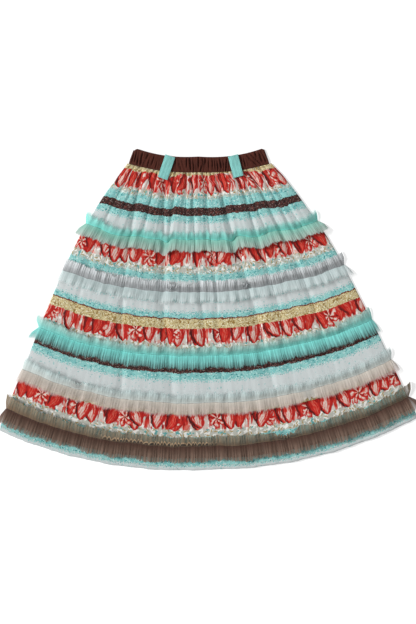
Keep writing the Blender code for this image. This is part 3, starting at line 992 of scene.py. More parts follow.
def print_group():
    """The cotton's print: speckled bands across the cloth, flower rows and small leaves."""
    group, given, put = new_group(
        "skirt_print",
        [("Cut", "NodeSocketVector", None)],
        [("Color", "NodeSocketColor")],
    )
    cut = given.outputs["Cut"]
    down = times(group, xyz(group, cut)[1], 1 / PANEL_LENGTH)

    # The bands' edges wander, and some fray into specks
    rows = [(0.0, 0.0)]
    for fade in FADES:
        rows += [
            ((fade.down - fade.reach) / PANEL_LENGTH, 0.0),
            (fade.down / PANEL_LENGTH, 1.0),
            (min(1, (fade.down + fade.reach) / PANEL_LENGTH), 0.0),
        ]
    fray = ramp(group, down, rows)
    wander = times(group, mottle(group, cut, 55), EDGE_WANDER)
    amount = scaled(group, fray, EDGE_FRAY, EDGE_GRAIN)
    edge = scaled(group, mottle(group, cut, 340), amount, wander)
    place = scaled(group, edge, 1 / PANEL_LENGTH, down)
    stops = [(band.start / PANEL_LENGTH, band.colour) for band in BANDS]
    colour = ramp(group, place, stops, "CONSTANT")

    # Light and dark specks on each kind of band, thin lines on the ochre, leaves on the cream
    for fleck in FLECKS:
        spot = speckle(group, moved(group, cut, fleck.seed, 0.37), fleck.per_metre)
        spot = step(group, spot, fleck.above, fleck.above + 0.05)
        here = times(group, spot, band_mask(group, place, fleck.band))
        colour = mix(group, here, colour, rgb(fleck.colour))
    lines = ridges(group, moved(group, cut, 0.5, 0), SCRIBBLES_A_METRE, SCRIBBLE_WIDTH)
    broken = step(group, speckle(group, moved(group, cut, 0, 0.5), 90, 1), 0.42, 0.52)
    here = times(group, lines, band_mask(group, place, "ochre"))
    colour = mix(group, times(group, here, broken), colour, rgb(SCRIBBLE_COLOUR))
    leaves = scattered_leaves(group, cut, LEAVES_A_METRE, *LEAF_SIZE)
    leaves = times(group, leaves, band_mask(group, place, "cream"))
    colour = mix(group, leaves, colour, rgb(LEAF_COLOUR))

    # Rows of strokes and petals with flowers among them, which come out from under the
    # ochre bands
    starts = [0] + [(before + after) / 2 for before, after in zip(FLOWER_ROWS, FLOWER_ROWS[1:])]
    stops = [(start / PANEL_LENGTH, middle) for start, middle in zip(starts, FLOWER_ROWS)]
    row = ramp(group, down, stops, "CONSTANT")
    clear = calc(group, "SUBTRACT", 1.0, band_mask(group, place, "ochre", "wine"))
    streaks = speckle(group, moved(group, cut, 0.7, 0), 200, 2, (1, 0.25, 1))
    painted = ramp(group, streaks, STROKE_COLOURS)
    colour = mix(group, brush_strokes(group, cut, row, clear), colour, painted)
    kinds = {"petal": petal_group(), "flower": flower_group()}
    for motif in MOTIFS:
        made = motif_row(group, cut, row, kinds[motif.kind], motif)
        here = times(group, made.outputs["Mask"], clear)
        colour = mix(group, here, colour, made.outputs["Color"])
    group.links.new(colour, put.inputs["Color"])
    return group


# Materials


def new_material(name, roughness, sheen):
    """A material with a Principled shader whose steady values are set on its sockets."""
    made = bpy.data.materials.new(name)
    made.use_nodes = True
    shader = made.node_tree.nodes["Principled BSDF"]
    shader.inputs["Roughness"].default_value = roughness
    shader.inputs["Sheen Weight"].default_value = sheen
    shader.inputs["Sheen Roughness"].default_value = 0.5
    shader.inputs["Specular IOR Level"].default_value = 0.25
    return made, made.node_tree, shader


def weave_group():
    """A plain weave's height on cut coordinates, with uneven threads."""
    group, given, put = new_group(
        "plain_weave",
        [("Cut", "NodeSocketVector", None), ("Threads", "NodeSocketFloat", WEAVE_THREADS)],
        [("Height", "NodeSocketFloat")],
    )
    waves = []
    for part in xyz(group, given.outputs["Cut"])[:2]:
        turn = times(group, part, given.outputs["Threads"])
        waves.append(calc(group, "SINE", times(group, turn, 3.1416)))
    woven = times(group, *waves)
    threads = speckle(group, given.outputs["Cut"], 900, 2, (1, 0.1, 1))
    group.links.new(scaled(group, threads, 0.8, woven), put.inputs["Height"])
    return group


def woven_bump(tree, shader, weave, cut, thread, wrinkles, strength, distance):
    """Raises a cloth's wrinkles, and its threads by their share of them."""
    woven = add(tree, "ShaderNodeGroup", {"Cut": cut, "Threads": WEAVE_THREADS}, node_tree=weave)
    height = scaled(tree, woven.outputs["Height"], thread, wrinkles)
    inputs = {"Height": height, "Strength": strength, "Distance": distance}
    raised = add(tree, "ShaderNodeBump", inputs)
    tree.links.new(raised.outputs["Normal"], shader.inputs["Normal"])


def printed_cotton(name, print_nodes, weave):
    """The panels' cotton: its print, with fine wrinkles and its weave."""
    made, tree, shader = new_material(name, 0.85, 0.15)
    cut = uv(tree, "cut")
    printed = add(tree, "ShaderNodeGroup", {"Cut": cut}, node_tree=print_nodes)
    tree.links.new(printed.outputs["Color"], shader.inputs["Base Color"])
    wrinkles = speckle(tree, cut, 55, 4, (1, 0.35, 1))
    woven_bump(tree, shader, weave, cut, 0.04, wrinkles, 0.5, 0.0016)
    return made


def plain_cotton(name, colour, weave, flecks_and_painted_streaks, sheen):
    """A dyed cotton: specks of lighter and darker thread, painted light and shade streaks along its
    folds, and painted highlight and shade on its wrinkles.
    """
    made, tree, shader = new_material(name, 0.85, sheen)
    cut = uv(tree, "cut")
    cloudy = speckle(tree, cut, 90, 3, (1, 0.3, 1))
    # Painted light and shade: lighter and darker streaks drawn out along the cut, as along folds
    painted_fold_streaks = mottle(tree, cut, 210, 2, (1, 0.35, 1))
    amount = times(tree, calc(tree, "ADD", mottle(tree, cut, 700), painted_fold_streaks), flecks_and_painted_streaks)
    # Painted highlight and shade: lighter where the wrinkles' bump stands higher, darker where it
    # sinks
    amount = calc(tree, "ADD", amount, scaled(tree, cloudy, 0.8, 0.6))
    tree.links.new(shaded(tree, rgb(colour), amount), shader.inputs["Base Color"])
    woven_bump(tree, shader, weave, cut, 0.08, cloudy, 0.8, 0.0014)
    return made


def tulle_group():
    """Sheer gathered net: dense at its seam, thin and combed towards its raw edges.

    Gathers gives the gathers counted along the strip, and the share of the flap's width,
    below 0 on the upper flap. Cover is how densely a flap covers at its seam, halfway and at
    its edge; Finish is its edge's haze and how clearly its gathers stand out. Shade is painted
    light and shade: a dark line along the seam, and lighter and darker stripes along the
    gathers, with clouds of uneven tone.
    """
    group, given, put = new_group(
        "gathered_tulle",
        [("Gathers", "NodeSocketVector", None),
         ("Upper Cover", "NodeSocketVector", None), ("Lower Cover", "NodeSocketVector", None),
         ("Upper Finish", "NodeSocketVector", None), ("Lower Finish", "NodeSocketVector", None)],
        [("Alpha", "NodeSocketFloat"), ("Lower", "NodeSocketFloat"), ("Out", "NodeSocketFloat"),
         ("Shade", "NodeSocketFloat")],
    )
    counted, flap, _ = xyz(group, given.outputs["Gathers"])
    share = calc(group, "ABSOLUTE", flap)
    lower = calc(group, "GREATER_THAN", flap, 0.0)

    # How densely it covers, on a line from the seam by the middle to the edge
    values = []
    for label in ("Cover", "Finish"):
        inputs = {0: lower, 4: given.outputs["Upper " + label], 5: given.outputs["Lower " + label]}
        chosen = add(group, "ShaderNodeMix", inputs, data_type="VECTOR").outputs[1]
        values += xyz(group, chosen)
    at_seam, halfway, at_edge, haze, comb = values[:5]
    first = times(group, share, 2.0, clamp=True)
    second = scaled(group, share, 2.0, -1.0, clamp=True)
    cover = blend(group, first, at_seam, halfway)
    cover = scaled(group, second, calc(group, "SUBTRACT", at_edge, halfway), cover)

    # Its gathers and hairs stand out as a comb, more so further out
    inputs = {0: given.outputs["Gathers"], 1: (1, 0.5, 0)}
    along = add(group, "ShaderNodeVectorMath", inputs, operation="MULTIPLY").outputs[0]
    waves = calc(group, "SINE", times(group, counted, 6.2832))
    hairs = mottle(group, along, HAIRS)
    combed = scaled(group, hairs, 3.0, times(group, waves, 0.45))
    out = calc(group, "POWER", share, 1.3)
    strength = times(group, scaled(group, out, 0.36, 0.05), comb)
    alpha = scaled(group, combed, strength, cover, clamp=True)
    cloudy = mottle(group, along, CLOUDS, 3)
    alpha = scaled(group, cloudy, 0.35, alpha, clamp=True)

    # It ends in a ragged edge that wanders in and out
    patchy = mottle(group, along, PATCHES, 3)
    ragged = scaled(group, hairs, HAIRS_PULL, 0.97)
    ragged = scaled(group, patchy, PATCHES_PULL, ragged)
    ragged = scaled(group, cloudy, CLOUDS_PULL, ragged)
    soft_from = calc(group, "SUBTRACT", ragged, haze)
    inputs = {"Value": share, "From Min": soft_from, "From Max": ragged}
    fade = add(group, "ShaderNodeMapRange", inputs, interpolation_type="SMOOTHSTEP")
    kept = calc(group, "SUBTRACT", 1.0, fade.outputs["Result"])
    group.links.new(times(group, alpha, kept), put.inputs["Alpha"])
    group.links.new(lower, put.inputs["Lower"])
    group.links.new(share, put.inputs["Out"])

    # Painted shade: a thin dark line along the seam, broken up by the clouds
    seam = falling(group, share, 0.01, 0.05)
    seam = times(group, seam, step(group, cloudy, -0.12, 0.12))
    # Painted light and shade: the tint turns lighter and darker in stripes along the gathers' waves
    # and hairs
    shade = scaled(group, times(group, combed, comb), 0.20, 1.0)
    shade = scaled(group, cloudy, 0.35, shade)
    group.links.new(scaled(group, seam, -SEAM_PAINTED_SHADE, shade), put.inputs["Shade"])
    return group


def tulle(ruffle, group):
    """A strip's tulle: its two flaps' colours, its gathers, and the rims of its folds, with painted
    highlight on the rims and painted shade inside.
    """
    upper, lower = FLAPS[ruffle.name]
    made, tree, shader = new_material(ruffle.name + "_tulle", 0.7, 0.1)
    inputs = {
        "Gathers": uv(tree, "gathers"),
        "Upper Cover": (upper.at_seam, upper.halfway, upper.at_edge),
        "Lower Cover": (lower.at_seam, lower.halfway, lower.at_edge),
        "Upper Finish": (upper.haze, upper.comb, 0),
        "Lower Finish": (lower.haze, lower.comb, 0),
    }
    sheer = add(tree, "ShaderNodeGroup", inputs, node_tree=group)
    out = sheer.outputs["Out"]
    upper_tint = mix(tree, out, rgb(upper.seam_colour), rgb(upper.edge_colour))
    lower_tint = mix(tree, out, rgb(lower.seam_colour), rgb(lower.edge_colour))
    tint = mix(tree, sheer.outputs["Lower"], upper_tint, lower_tint)
    tint = shaded(tree, tint, sheer.outputs["Shade"])

    # It covers more fully where it turns round the sides
    fuller = scaled(tree, xyz(tree, uv(tree, "side"))[0], 0.5, 1.0)
    alpha = times(tree, sheer.outputs["Alpha"], fuller, clamp=True)
    # Painted highlight and shade: the folds' rims are lightened and their insides darkened
    if ruffle.name in FOLD_RIM_HIGHLIGHT_AND_SHADE:
        rim_highlight_colour, fold_shade_colour = FOLD_RIM_HIGHLIGHT_AND_SHADE[ruffle.name]
        folded, past_rim, _ = xyz(tree, uv(tree, "folds"))
        from_rim = calc(tree, "ABSOLUTE", past_rim)
        rim = falling(tree, from_rim, *FOLD_RIM_WIDTHS)
        ring = mix(tree, rim, rgb(fold_shade_colour), rgb(rim_highlight_colour))
        inside = falling(tree, past_rim, *FOLD_RIM_WIDTHS)
        inside = times(tree, inside, folded)
        tint = mix(tree, inside, tint, ring)
        alpha = calc(tree, "MAXIMUM", alpha, times(tree, rim, folded))
    tree.links.new(tint, shader.inputs["Base Color"])
    tree.links.new(alpha, shader.inputs["Alpha"])
    return made


def thread_material(name, colour):
    """Twisted sewing thread."""
    made, tree, shader = new_material(name, 0.6, 0.3)
    place = add(tree, "ShaderNodeTexCoord").outputs["Object"]
    twist = speckle(tree, place, 2500, 1)
    shade = scaled(tree, twist, 0.5, 0.75)
    tree.links.new(shaded(tree, rgb(colour), shade), shader.inputs["Base Color"])
    return made


# Pieces


def sew_on(piece):
    """Makes a piece move with the skirt."""
    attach(piece, "root")


def dress(piece, part, slot, held, rests_on, **cut):
    """Puts a sheet of cloth in place of its part of the frame."""
    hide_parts(part)
    sew_on(piece)


def make_front(look):
    """The gathered front panel, with its rows closest together near the waist."""
    across = np.linspace(-1, 1, 417)[None, :]
    near_waist = np.linspace(0, 0.12, 31)[:-1]
    down = np.concatenate([near_waist, np.linspace(0.12, 1, 88)])[:, None]
    points = front_points(across, down)
    cut = cut_map(points, down, hidden_cloth(across, down))
    cut[..., 1] -= crease_pull(across, down) * PANEL_LENGTH
    return cloth_mesh("front_cloth", points, {"cut": cut}, look, wall=FRONT_WALL)


def make_back(look):
    """The back panel, flat on the floor under the front one."""
    across = np.linspace(-1, 1, 97)[None, :]
    down = np.linspace(0, 1, 61)[:, None]
    points = panel_plan(across, down).copy()
    points[..., 2] = CLOTH - 0.0001
    cut = cut_map(points, down)
    return cloth_mesh("back_cloth", points, {"cut": cut}, look, wall=BACK_WALL)


def band_plan(across, up):
    """Where places on the waistband lie, from its lower edge at up 0 to its top at 1."""
    across, up = np.broadcast_arrays(np.asarray(across, float), np.asarray(up, float))
    bottom_angle = BAND_BOTTOM.middle_angle + across * BAND_BOTTOM.half_angle
    top_angle = BAND_TOP.middle_angle + across * BAND_TOP.half_angle
    over_panel = (bottom_angle - SECTIONS[0].middle_angle) / SECTIONS[0].half_angle
    seam = np.linalg.norm(panel_plan(over_panel, 0), axis=-1) - SEAM_GAP
    bottom = fan_points(seam, bottom_angle, 0)
    sag = BAND_TOP_SAG * np.abs(across) ** 1.2 + BAND_TOP_SKEW * across / 2
    top = fan_points(BAND_TOP_RADIUS + sag, top_angle, 0)
    return bottom + (top - bottom) * up[..., None]


def band_ripple(across, up):
    """How high the waistband's front stands at its folds and small wrinkles."""
    ripple = BAND_RIPPLE + 0.0003 * uneven(9 * across + 3 * up, 6)
    ripple = ripple + 0.00012 * uneven(47 * across + 4 * up, 8)
    for fold in BAND_FOLDS:
        aside = (across - fold.across - fold.lean * (up - 0.5)) / (BAND_FOLD_WIDER * fold.width)
        along = (up - fold.low) / (fold.high - fold.low)
        fading = np.clip(4 * along * (1 - along), 0, 1) ** 0.7
        beside = np.exp(-((aside - 2.0) ** 2) / 1.2) + 0.5 * np.exp(-((aside + 2.0) ** 2) / 1.2)
        dip = 0.40 * beside - np.exp(-(aside**2))
        ripple = ripple + BAND_FOLD_DEEPER * fold.depth * fading * dip
    for loop in LOOPS:
        middle = (loop.head_angle + loop.foot_angle) / 2
        place = (middle - BAND_BOTTOM.middle_angle) / BAND_BOTTOM.half_angle
        near = np.exp(-(((across - place) / 0.085) ** 6))
        ripple = ripple * (1 - near) + 0.0006 * near
    return np.clip(ripple, *BAND_RIPPLE_RANGE)


def make_waistband(look):
    """One casing all round, pressed flat: front, tight fold, back, tight fold."""
    front = np.linspace(-1, 1, BAND_FRONT_COLUMNS)
    fold = np.linspace(0, 180, 9)[1:-1]
    back = np.linspace(1, -1, BAND_BACK_COLUMNS)
    end = np.ones(len(fold))
    across = np.concatenate([front, end, back, -end])
    turned = np.concatenate([np.zeros(len(front)), fold, np.full(len(back), 180.0), fold + 180])
    ring = np.linspace(0, 2 * math.pi, BAND_WALL_POINTS, endpoint=False)[:, None]
    up = 0.5 + 0.5 * np.sign(np.cos(ring)) * np.abs(np.cos(ring)) ** 0.7
    out = np.sign(np.sin(ring)) * np.abs(np.sin(ring)) ** 0.5
    turn = np.radians(turned)[None, :]
    facing_up = np.cos(turn)
    on_front = np.where(turned == 0, 1.0, 0.0)[None, :]
    held = 1 - 0.75 * np.abs(2 * up - 1) ** 6
    ripple = on_front * held * band_ripple(across[None, :], up)
    corner_in, corner_down = (np.where(across < 0, *both) for both in zip(*BAND_CORNERS))
    round_share = np.clip((np.abs(across) - 1 + corner_in) / corner_in, 0, 0.97)
    dropped = corner_down * (1 - np.sqrt(1 - round_share**2))
    plan = band_plan(across[None, :], up - dropped[None, :] * up**3)
    edge = unit(band_plan(across, 0) - band_plan(across, 1))
    sideways = np.stack([-edge[:, 1], edge[:, 0], edge[:, 2]], axis=1) * np.sign(across)[:, None]
    middle = BAND_WALL + BAND_INSIDE_GAP / 2
    radius = (BAND_WALL + BAND_INSIDE_GAP) / 2 + out * BAND_WALL / 2
    points = plan + sideways[None] * (radius * np.abs(np.sin(turn)))[..., None]
    points[..., 2] = middle + radius * facing_up + ripple * np.clip(out + 0.3, 0, 1)
    along = np.concatenate([[0], np.cumsum(np.linalg.norm(np.diff(plan[0], axis=0), axis=1))])
    cut = pairs(along[None, :] * BAND_FULLNESS, up * BAND_HEIGHT)
    ring_closed = np.concatenate([points, points[:1]], axis=0)
    cut = np.concatenate([cut, cut[:1]], axis=0)
    made = cloth_mesh("waistband_casing", ring_closed, {"cut": cut}, look, closed=True)
    weld(made)
    return made


def make_belt_loop(loop, look):
    """A flat mint strip, stitched down at its head and foot."""
    band_top = BAND_WALL * 2 + BAND_INSIDE_GAP + BAND_GATHER_HEIGHT + 0.0003
    under = loop.foot_angle + np.arange(-12, 13) / 4
    across_under = (under - SECTIONS[0].middle_angle) / SECTIONS[0].half_angle
    below = loop.below_band / PANEL_LENGTH
    foot_top = float(front_height(across_under, below).max())
    panel_top = float(front_height(across_under, 0.004).max())
    head = band_plan((loop.head_angle - BAND_TOP.middle_angle) / BAND_TOP.half_angle, 1)
    foot_across = (loop.foot_angle - SECTIONS[0].middle_angle) / SECTIONS[0].half_angle
    foot = panel_plan(foot_across, below)
    run = unit(head - foot)
    sideways = np.array([run[1], -run[0], 0])
    share = np.linspace(0, 1, 41)
    places = [0.0, 0.2, 0.5, 0.7, 1.0]
    seam_top = max(band_top, panel_top)
    heights = [band_top, band_top + LOOP_SLACK, band_top + LOOP_SLACK, seam_top, foot_top]
    height = np.interp(share, places, heights)
    height = np.convolve(np.pad(height, 3, mode="edge"), np.ones(7) / 7, mode="valid")
    offset = np.linspace(-0.5, 0.5, 33) * LOOP_WIDTH
    edge = np.abs(offset) / (LOOP_WIDTH / 2)
    points = head + (foot - head) * share[:, None, None] + sideways * offset[None, :, None]
    crown = LOOP_CROWN * (1 - edge**6) + 0.00015 * np.sin(offset * 700)
    sewn = np.exp(-(((np.abs(offset) - LOOP_STITCH_LINE) / LOOP_SEWN_WIDTH) ** 2))
    points[..., 2] = height[:, None] + SEAM_GAP + 0.0002 + (crown - LOOP_SEWN_DEPTH * sewn)[None, :]
    length = float(np.linalg.norm(head - foot))
    cut = pairs(offset[None, :], share[:, None] * length)
    name = loop.name + "_strip"
    return cloth_mesh(name, points, {"cut": cut}, look, wall=LOOP_WALL, offset=1), points


def stretch_share(row, across):
    """1 along a stretch of a flap and 0 away from it, with soft ends."""
    inside = np.tanh((across - row.start) / RUCK_BLEND)
    return 0.5 * (inside - np.tanh((across - row.end) / RUCK_BLEND))


def rucked(ruffle, flap, across):
    """How much a flap is folded back at places across, and the share of its width left."""
    folded = np.zeros_like(across)
    keep = np.ones_like(across)
    for ruck in RUCKS:
        if (ruck.ruffle, ruck.flap) == (ruffle.name, flap):
            inside = stretch_share(ruck, across)
            folded = np.maximum(folded, inside)
            keep = keep * (1 + (ruck.keep - 1) * inside)
    return folded, keep


def sprung_loops(ruffle, flap, across, arches):
    """Where a flap's gathers are sprung open: how much, their rims' shares, their height."""
    opened = np.zeros_like(across)
    rims = np.full_like(across, 0.5)
    height = np.zeros_like(across)
    for row in SPRUNG:
        if (row.ruffle, row.flap) == (ruffle.name, flap):
            inside = stretch_share(row, across)
            near = (across > row.start - 2 * RUCK_BLEND) & (across < row.end + 2 * RUCK_BLEND)
            opened = np.maximum(opened, inside)
            rims = np.where(near, row.foot + (row.top - row.foot) * arches, rims)
            height = np.maximum(height, row.height * inside)
    return opened, rims, height


def flap_lean(ruffle, across, tilt, width):
    """How steeply a flap stands off the skirt, in degrees: less or more at its ends."""
    out = np.where(across < 0, ruffle.left_out, ruffle.right_out)
    at_end = np.degrees(np.arcsin(out / width))
    return tilt + (at_end - tilt) * np.abs(across) ** END_BLEND_POWER


# The line that a strip is sewn down along, round both sides: its places across, how many
# degrees each has turned round a side, its points, the way down the skirt and out of the cloth
StripLine = namedtuple("StripLine", "across turned points down off")

# A strip's waves along that line: the coarse ones, the gathers' phase, and the fine ones
Waves = namedtuple("Waves", "coarse phase fine")


def strip_line(ruffle, seed):
    """The line that a strip is sewn down along."""
    front = np.linspace(-1, 1, ruffle.gathers * POINTS_A_GATHER + 1)
    wrap = np.linspace(90, 0, WRAP_COLUMNS + 1)[:-1]
    end = np.ones(WRAP_COLUMNS)
    across = np.concatenate([-end, front, end])
    turned = np.concatenate([wrap, np.zeros(len(front)), wrap[::-1]])
    wander = SEAM_WANDER.get(ruffle.name, [(-1.0, 0.0), (1.0, 0.0)])
    wander = through(wander, across) + 0.0010 * uneven(8 * across, seed + 3)
    seam_down = ruffle.down + crease_pull(across, ruffle.down) + wander / PANEL_LENGTH
    down = way_down(across, ruffle.down)
    turn = np.radians(turned)[:, None]
    side = np.where(across > 0, 1.0, -1.0)
    outward = np.stack([-down[:, 1], down[:, 0], down[:, 2]], axis=1) * side[:, None]
    off = outward * np.sin(turn) + np.array([0, 0, 1]) * np.cos(turn)
    seam = front_points(across, seam_down)
    seam[:, 2] += SEAM_LIFT
    side_middle = FRONT_REST / 2
    at_side = panel_plan(across, seam_down) + off * (side_middle + SEAM_LIFT)
    at_side[:, 2] += side_middle
    return StripLine(across, turned, np.where(turned[:, None] > 0, at_side, seam), down, off)


def gather_waves(ruffle, line, seed):
    """The waves of a strip along its line."""
    side = np.where(line.across > 0, 1.0, -1.0)
    column = (line.across + 1) / 2 * WAVES * 4 + 3 + side * line.turned / 30
    coarse = WAVE_HEIGHT * (0.8 + 0.2 * np.sin(column * 0.37) + 0.12 * np.sin(column * 0.91))
    coarse = coarse * np.cos(2 * math.pi * (column + 0.5) / 4)
    phase = math.pi * ruffle.gathers * (line.across + 0.012 * uneven(14 * line.across, seed))
    phase = phase + side * line.turned * 0.12
    return Waves(coarse, phase, np.sin(phase) + 0.35 * np.sin(0.5 * phase + seed))


def flap_row(ruffle, seed, share, line, waves):
    """A row of a strip's points at a share of a flap's width, and its fold map there.

    The map gives how far the tulle is folded, and how far past the fold's rim the row lies.
    """
    across, down, off = line.across, line.down, line.off
    flap = 0 if share < 0 else 1
    way = 2 * flap - 1
    part = abs(share)
    width = (ruffle.flap_up, ruffle.flap_down)[flap]
    tilt = (ruffle.tilt_up, ruffle.tilt_down)[flap]
    lean = flap_lean(ruffle, across, tilt, width)
    lean = lean * (1 + 0.12 * uneven(9 * across, seed + 2 + way))
    droop = np.minimum(FLAP_DROOP, lean / 2)
    steep, shallow = np.radians(lean + droop), np.radians(lean - droop)

    # Where the flap is folded back it keeps a share of its width; where it is sprung open it
    # stands up along the loops' rims
    folded, keep = rucked(ruffle, flap, across)
    arches = np.abs(np.sin(ARCHES_A_GATHER * waves.phase)) ** ARCH_POWER
    arches = arches * (0.85 + 0.18 * uneven(40 * across, seed + 8))
    opened, rims, height = sprung_loops(ruffle, flap, across, arches)
    keep = keep * (1 + FOLD_SCALLOP * folded * (1.5 * arches - 1))
    back = keep * (2 * part if part < 0.5 else 1 - 0.8 * (2 * part - 1))
    reach = ((1 - folded) * part * keep**0.5 + folded * back) * width
    first, second = np.minimum(reach, width / 2), np.maximum(reach - width / 2, 0)
    ragged = 1 + 0.03 * uneven(120 * across, seed + 5) * part
    along = down * way * ((np.cos(steep) * first + np.cos(shallow) * second) * ragged)[:, None]
    rise = (np.sin(steep) * first + np.sin(shallow) * second) * ragged
    rise = rise + folded * 0.0014 * max(0, 2 * part - 1)
    rise = rise + height * np.exp(-(((part - rims) / LOOP_RIDGE) ** 2))

    # Waves and gathers stand off the flap's own face
    turn = np.radians(lean)[:, None]
    facing = off * np.cos(turn) - down * way * np.sin(turn)
    standing = np.minimum(1, lean / FULL_WAVE_TILT)
    fine = (0.0001 + 0.0007 * FLAPS[ruffle.name][flap].comb * part) * waves.fine
    puffs = 0.0009 * uneven(70 * across + 2 * share, seed + 6) * part
    wave = (0.7 * waves.coarse * part + fine + puffs) * standing * (1 - 0.7 * folded)
    points = line.points + along + off * rise[:, None] + facing * wave[:, None]
    return points, np.stack([np.maximum(folded, opened), part - rims], axis=-1)


def make_ruffle(ruffle, seed, look):
    """A strip of tulle in fine gathers, sewn down along its middle and free on both sides.

    Gives the piece, the length that it was cut to, and its seam along the front.
    """
    line = strip_line(ruffle, seed)
    waves = gather_waves(ruffle, line, seed)
    shares = np.array([-share for share in FLAP_ROWS[:0:-1]] + list(FLAP_ROWS))
    rows = [flap_row(ruffle, seed, share, line, waves) for share in shares]
    points, folds = (np.stack(column) for column in zip(*rows))
    run = np.linalg.norm(np.diff(line.points, axis=0), axis=1)
    strip = np.concatenate([[0], np.cumsum(run)]) * TULLE_FULLNESS
    over = np.where(shares < 0, shares * ruffle.flap_up, shares * ruffle.flap_down)
    maps = {
        "cut": pairs(strip[None, :], over[:, None]),
        "gathers": pairs(waves.phase[None, :] / (2 * math.pi), shares[:, None]),
        "folds": folds,
        "side": pairs(line.turned[None, :] / 90, np.zeros((len(shares), 1))),
    }
    made = cloth_mesh(ruffle.name + "_strip", points, maps, look)
    return made, float(strip[-1]), line.points[WRAP_COLUMNS:-WRAP_COLUMNS]


def add_curls(ruffle, seam, look):
    """Small flared rolls of tulle, where the strip's upper flap has curled up."""
    across = np.linspace(-1, 1, len(seam))
    turns = np.linspace(0, 2 * CURL_TURNS * math.pi, 41)
    up = np.linspace(0, 1, 6)[:, None]
    for count, curl in enumerate(c for c in CURLS if c.ruffle == ruffle.name):
        middle = np.array([np.interp(curl.across, across, seam[:, i]) for i in range(3)])
        down = way_down(curl.across, ruffle.down)
        beside = np.array([-down[1], down[0], 0])
        radius = curl.radius * (0.55 + 0.45 * up + 0.10 * np.cos(5 * turns)) * (1 - 0.02 * turns)
        points = middle - down * curl.above
        points = points + beside * (radius * np.cos(turns))[..., None]
        points = points - down * (1.35 * radius * np.sin(turns))[..., None]
        points[..., 2] = middle[2] + CURL_FOOT + CURL_HEIGHT * up + 0.0010 * np.sin(3 * turns)
        gathers = pairs(turns * 1.3, -0.25 - 0.5 * up)
        maps = {"cut": pairs(turns * curl.radius, up * 0.009), "gathers": gathers}
        maps["folds"] = maps["side"] = 0 * gathers
        sew_on(cloth_mesh(f"{ruffle.name}_curl_{count + 1}", points, maps, look))


def stitch_row(name, path, up, look):
    """Short thread stitches, end to end along a path of points."""
    steps = np.linalg.norm(np.diff(path, axis=0), axis=1)
    along = np.concatenate([[0], np.cumsum(steps)])
    middles = np.arange(STITCH_PITCH / 2, along[-1], STITCH_PITCH)
    starts, ends = (
        np.stack([np.interp(middles + half, along, path[:, i]) for i in range(3)], axis=1)
        for half in (-STITCH_LENGTH / 2, STITCH_LENGTH / 2)
    )
    run = unit(ends - starts)
    beside = unit(np.cross(run, [0.0, 0.0, 1.0]))
    turns = np.radians(np.arange(THREAD_SIDES) * 360 / THREAD_SIDES)
    rings = []
    for share, swell in ((0.0, 0.35), (0.2, 1.0), (0.8, 1.0), (1.0, 0.35)):
        centre = starts + (ends - starts) * share
        centre[:, 2] += up + 0.8 * THREAD_RADIUS * math.sin(math.pi * share)
        ring = centre[:, None, :] + THREAD_RADIUS * swell * (
            beside[:, None, :] * np.cos(turns)[None, :, None]
            + np.array([0.0, 0.0, 1.0]) * np.sin(turns)[None, :, None]
        )
        rings.append(ring)
    one = []
    for ring in range(len(rings) - 1):
        for side in range(THREAD_SIDES):
            a = ring * THREAD_SIDES + side
            b = ring * THREAD_SIDES + (side + 1) % THREAD_SIDES
            one.append((a, a + THREAD_SIDES, b + THREAD_SIDES, b))
    end = range((len(rings) - 1) * THREAD_SIDES, len(rings) * THREAD_SIDES)
    one += [tuple(range(THREAD_SIDES)), tuple(reversed(end))]
    bases = range(0, len(middles) * end.stop, end.stop)
    faces = [tuple(base + corner for corner in face) for base in bases for face in one]
    made = new_piece(name, np.stack(rings, axis=1), faces, look)
    weld(made)
    return made


def loop_stitches(loop, points, look):
    """Topstitching along both edges of a belt loop, and across its head and foot."""
    offset = np.linspace(-0.5, 0.5, points.shape[1]) * LOOP_WIDTH
    left = int(np.argmin(np.abs(offset + LOOP_STITCH_LINE)))
    right = points.shape[1] - 1 - left
    between = slice(left, right + 1)
    paths = [points[:, left], points[:, right], points[2, between], points[-3, between]]
    for count, path in enumerate(paths):
        row = stitch_row(f"{loop.name}_stitches_{count + 1}", path, LOOP_WALL, look)
        sew_on(row)


def sew_rows(seams, looks):
    """The stitching that shows: each strip's seam, the waist seam and the hem."""
    across = np.linspace(-0.995, 0.995, 700)
    near_edge = np.linspace(-0.985, 0.985, 500)
    waist = front_points(near_edge, WAIST_STITCHES_DOWN)
    hem = front_points(across, 1 - (TURNED_HEM - HEM_STITCHES_LOWER) / PANEL_LENGTH)
    rows = [("waist", waist, "printed_cotton"), ("hem", hem, "printed_cotton")]
    rows += [(ruffle.name, seams[ruffle.name], ruffle.slot) for ruffle in RUFFLES]
    for name, path, slot in rows:
        sew_on(stitch_row(name + "_stitches", path, STITCH_LIFT, looks[slot]))


# The stage


def make_floor():
    """A plain pale floor that the skirt lies on."""
    bpy.ops.mesh.primitive_plane_add(size=FLOOR_SIZE, location=(0, 0, -FLOOR_BELOW))
    floor = bpy.context.object
    floor.name = "floor"
    made, _, shader = new_material("floor_white", 0.9, 0)
    shader.inputs["Base Color"].default_value = (FLOOR_GREY, FLOOR_GREY, FLOOR_GREY, 1)
    shader.inputs["Emission Color"].default_value = (1, 1, 1, 1)
    shader.inputs["Emission Strength"].default_value = FLOOR_GLOW
    floor.data.materials.append(made)


def make_studio():
    """A broad low key light from the waist's left, and an even pale room."""
    scene = bpy.context.scene
    scene.view_settings.view_transform = "Standard"
    world = bpy.data.worlds.new("soft_studio")
    world.use_nodes = True
    background = world.node_tree.nodes["Background"]
    background.inputs["Color"].default_value = (1, 1, 1, 1)
    background.inputs["Strength"].default_value = ROOM_LIGHT
    scene.world = world
    data = bpy.data.lights.new("key", "SUN")
    data.energy = KEY_POWER
    data.angle = math.radians(KEY_SPREAD)
    key = bpy.data.objects.new("key", data)
    scene.collection.objects.link(key)
    key.rotation_euler = Vector(KEY_FROM).to_track_quat("Z", "Y").to_euler()


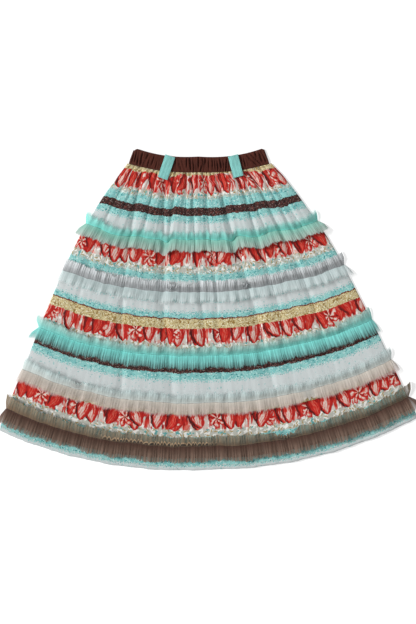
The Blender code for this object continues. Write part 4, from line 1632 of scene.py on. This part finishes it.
def make_camera():
    """Straight above the skirt, framed as in the photograph."""
    data = bpy.data.cameras.new("camera")
    data.lens = LENS
    data.sensor_width = SENSOR
    made = bpy.data.objects.new("camera", data)
    bpy.context.scene.collection.objects.link(made)
    right = (PHOTO_SIZE[0] / 2 - PHOTO_FAN_CENTRE[0]) * PIXEL
    lower = (PHOTO_SIZE[1] / 2 - PHOTO_FAN_CENTRE[1]) * PIXEL
    height = PHOTO_SIZE[1] * PIXEL * LENS / SENSOR
    made.location = (CENTRE[0] + right, CENTRE[1] - lower, height)
    bpy.context.scene.camera = made


def main():
    """Makes the stage and every piece."""
    make_camera()
    make_studio()
    make_floor()
    weave = weave_group()
    cotton = printed_cotton("printed_cotton", print_group(), weave)
    panel = {"flat": (HEM_CUT, PANEL_LENGTH), "area": (WAIST_CUT + HEM_CUT) / 2 * PANEL_LENGTH}
    dress(make_front(cotton), "front_panel", "printed_cotton", "gathered", ["back_panel"], **panel)
    dress(make_back(cotton), "back_panel", "printed_cotton", "laid", [], **panel)
    band_cut = (BAND_CUT, BAND_HEIGHT)
    band = make_waistband(plain_cotton("brown_casing", CASING_BROWN, weave, 1.1, 0.05))
    dress(band, "waistband", "brown_casing", "gathered", ["back_panel"], flat=band_cut)
    threads = {name: thread_material(name + "_thread", colour) for name, colour in THREADS.items()}
    mint = plain_cotton("mint_loop", LOOP_MINT, weave, 0.55, 0.2)
    for loop in LOOPS:
        strip, points = make_belt_loop(loop, mint)
        flat = (LOOP_WIDTH, LOOP_CUT)
        dress(strip, loop.name, "mint_loop", "laid", ["waistband_casing"], flat=flat)
        loop_stitches(loop, points, threads["mint_loop"])
    net = tulle_group()
    seams = {}
    for seed, ruffle in enumerate(RUFFLES):
        look = tulle(ruffle, net)
        strip, length, seams[ruffle.name] = make_ruffle(ruffle, seed, look)
        width = ruffle.flap_up + ruffle.flap_down
        dress(strip, ruffle.name, ruffle.slot, "gathered", ["front_cloth"], flat=(length, width))
        add_curls(ruffle, seams[ruffle.name], look)
    sew_rows(seams, threads)


main()
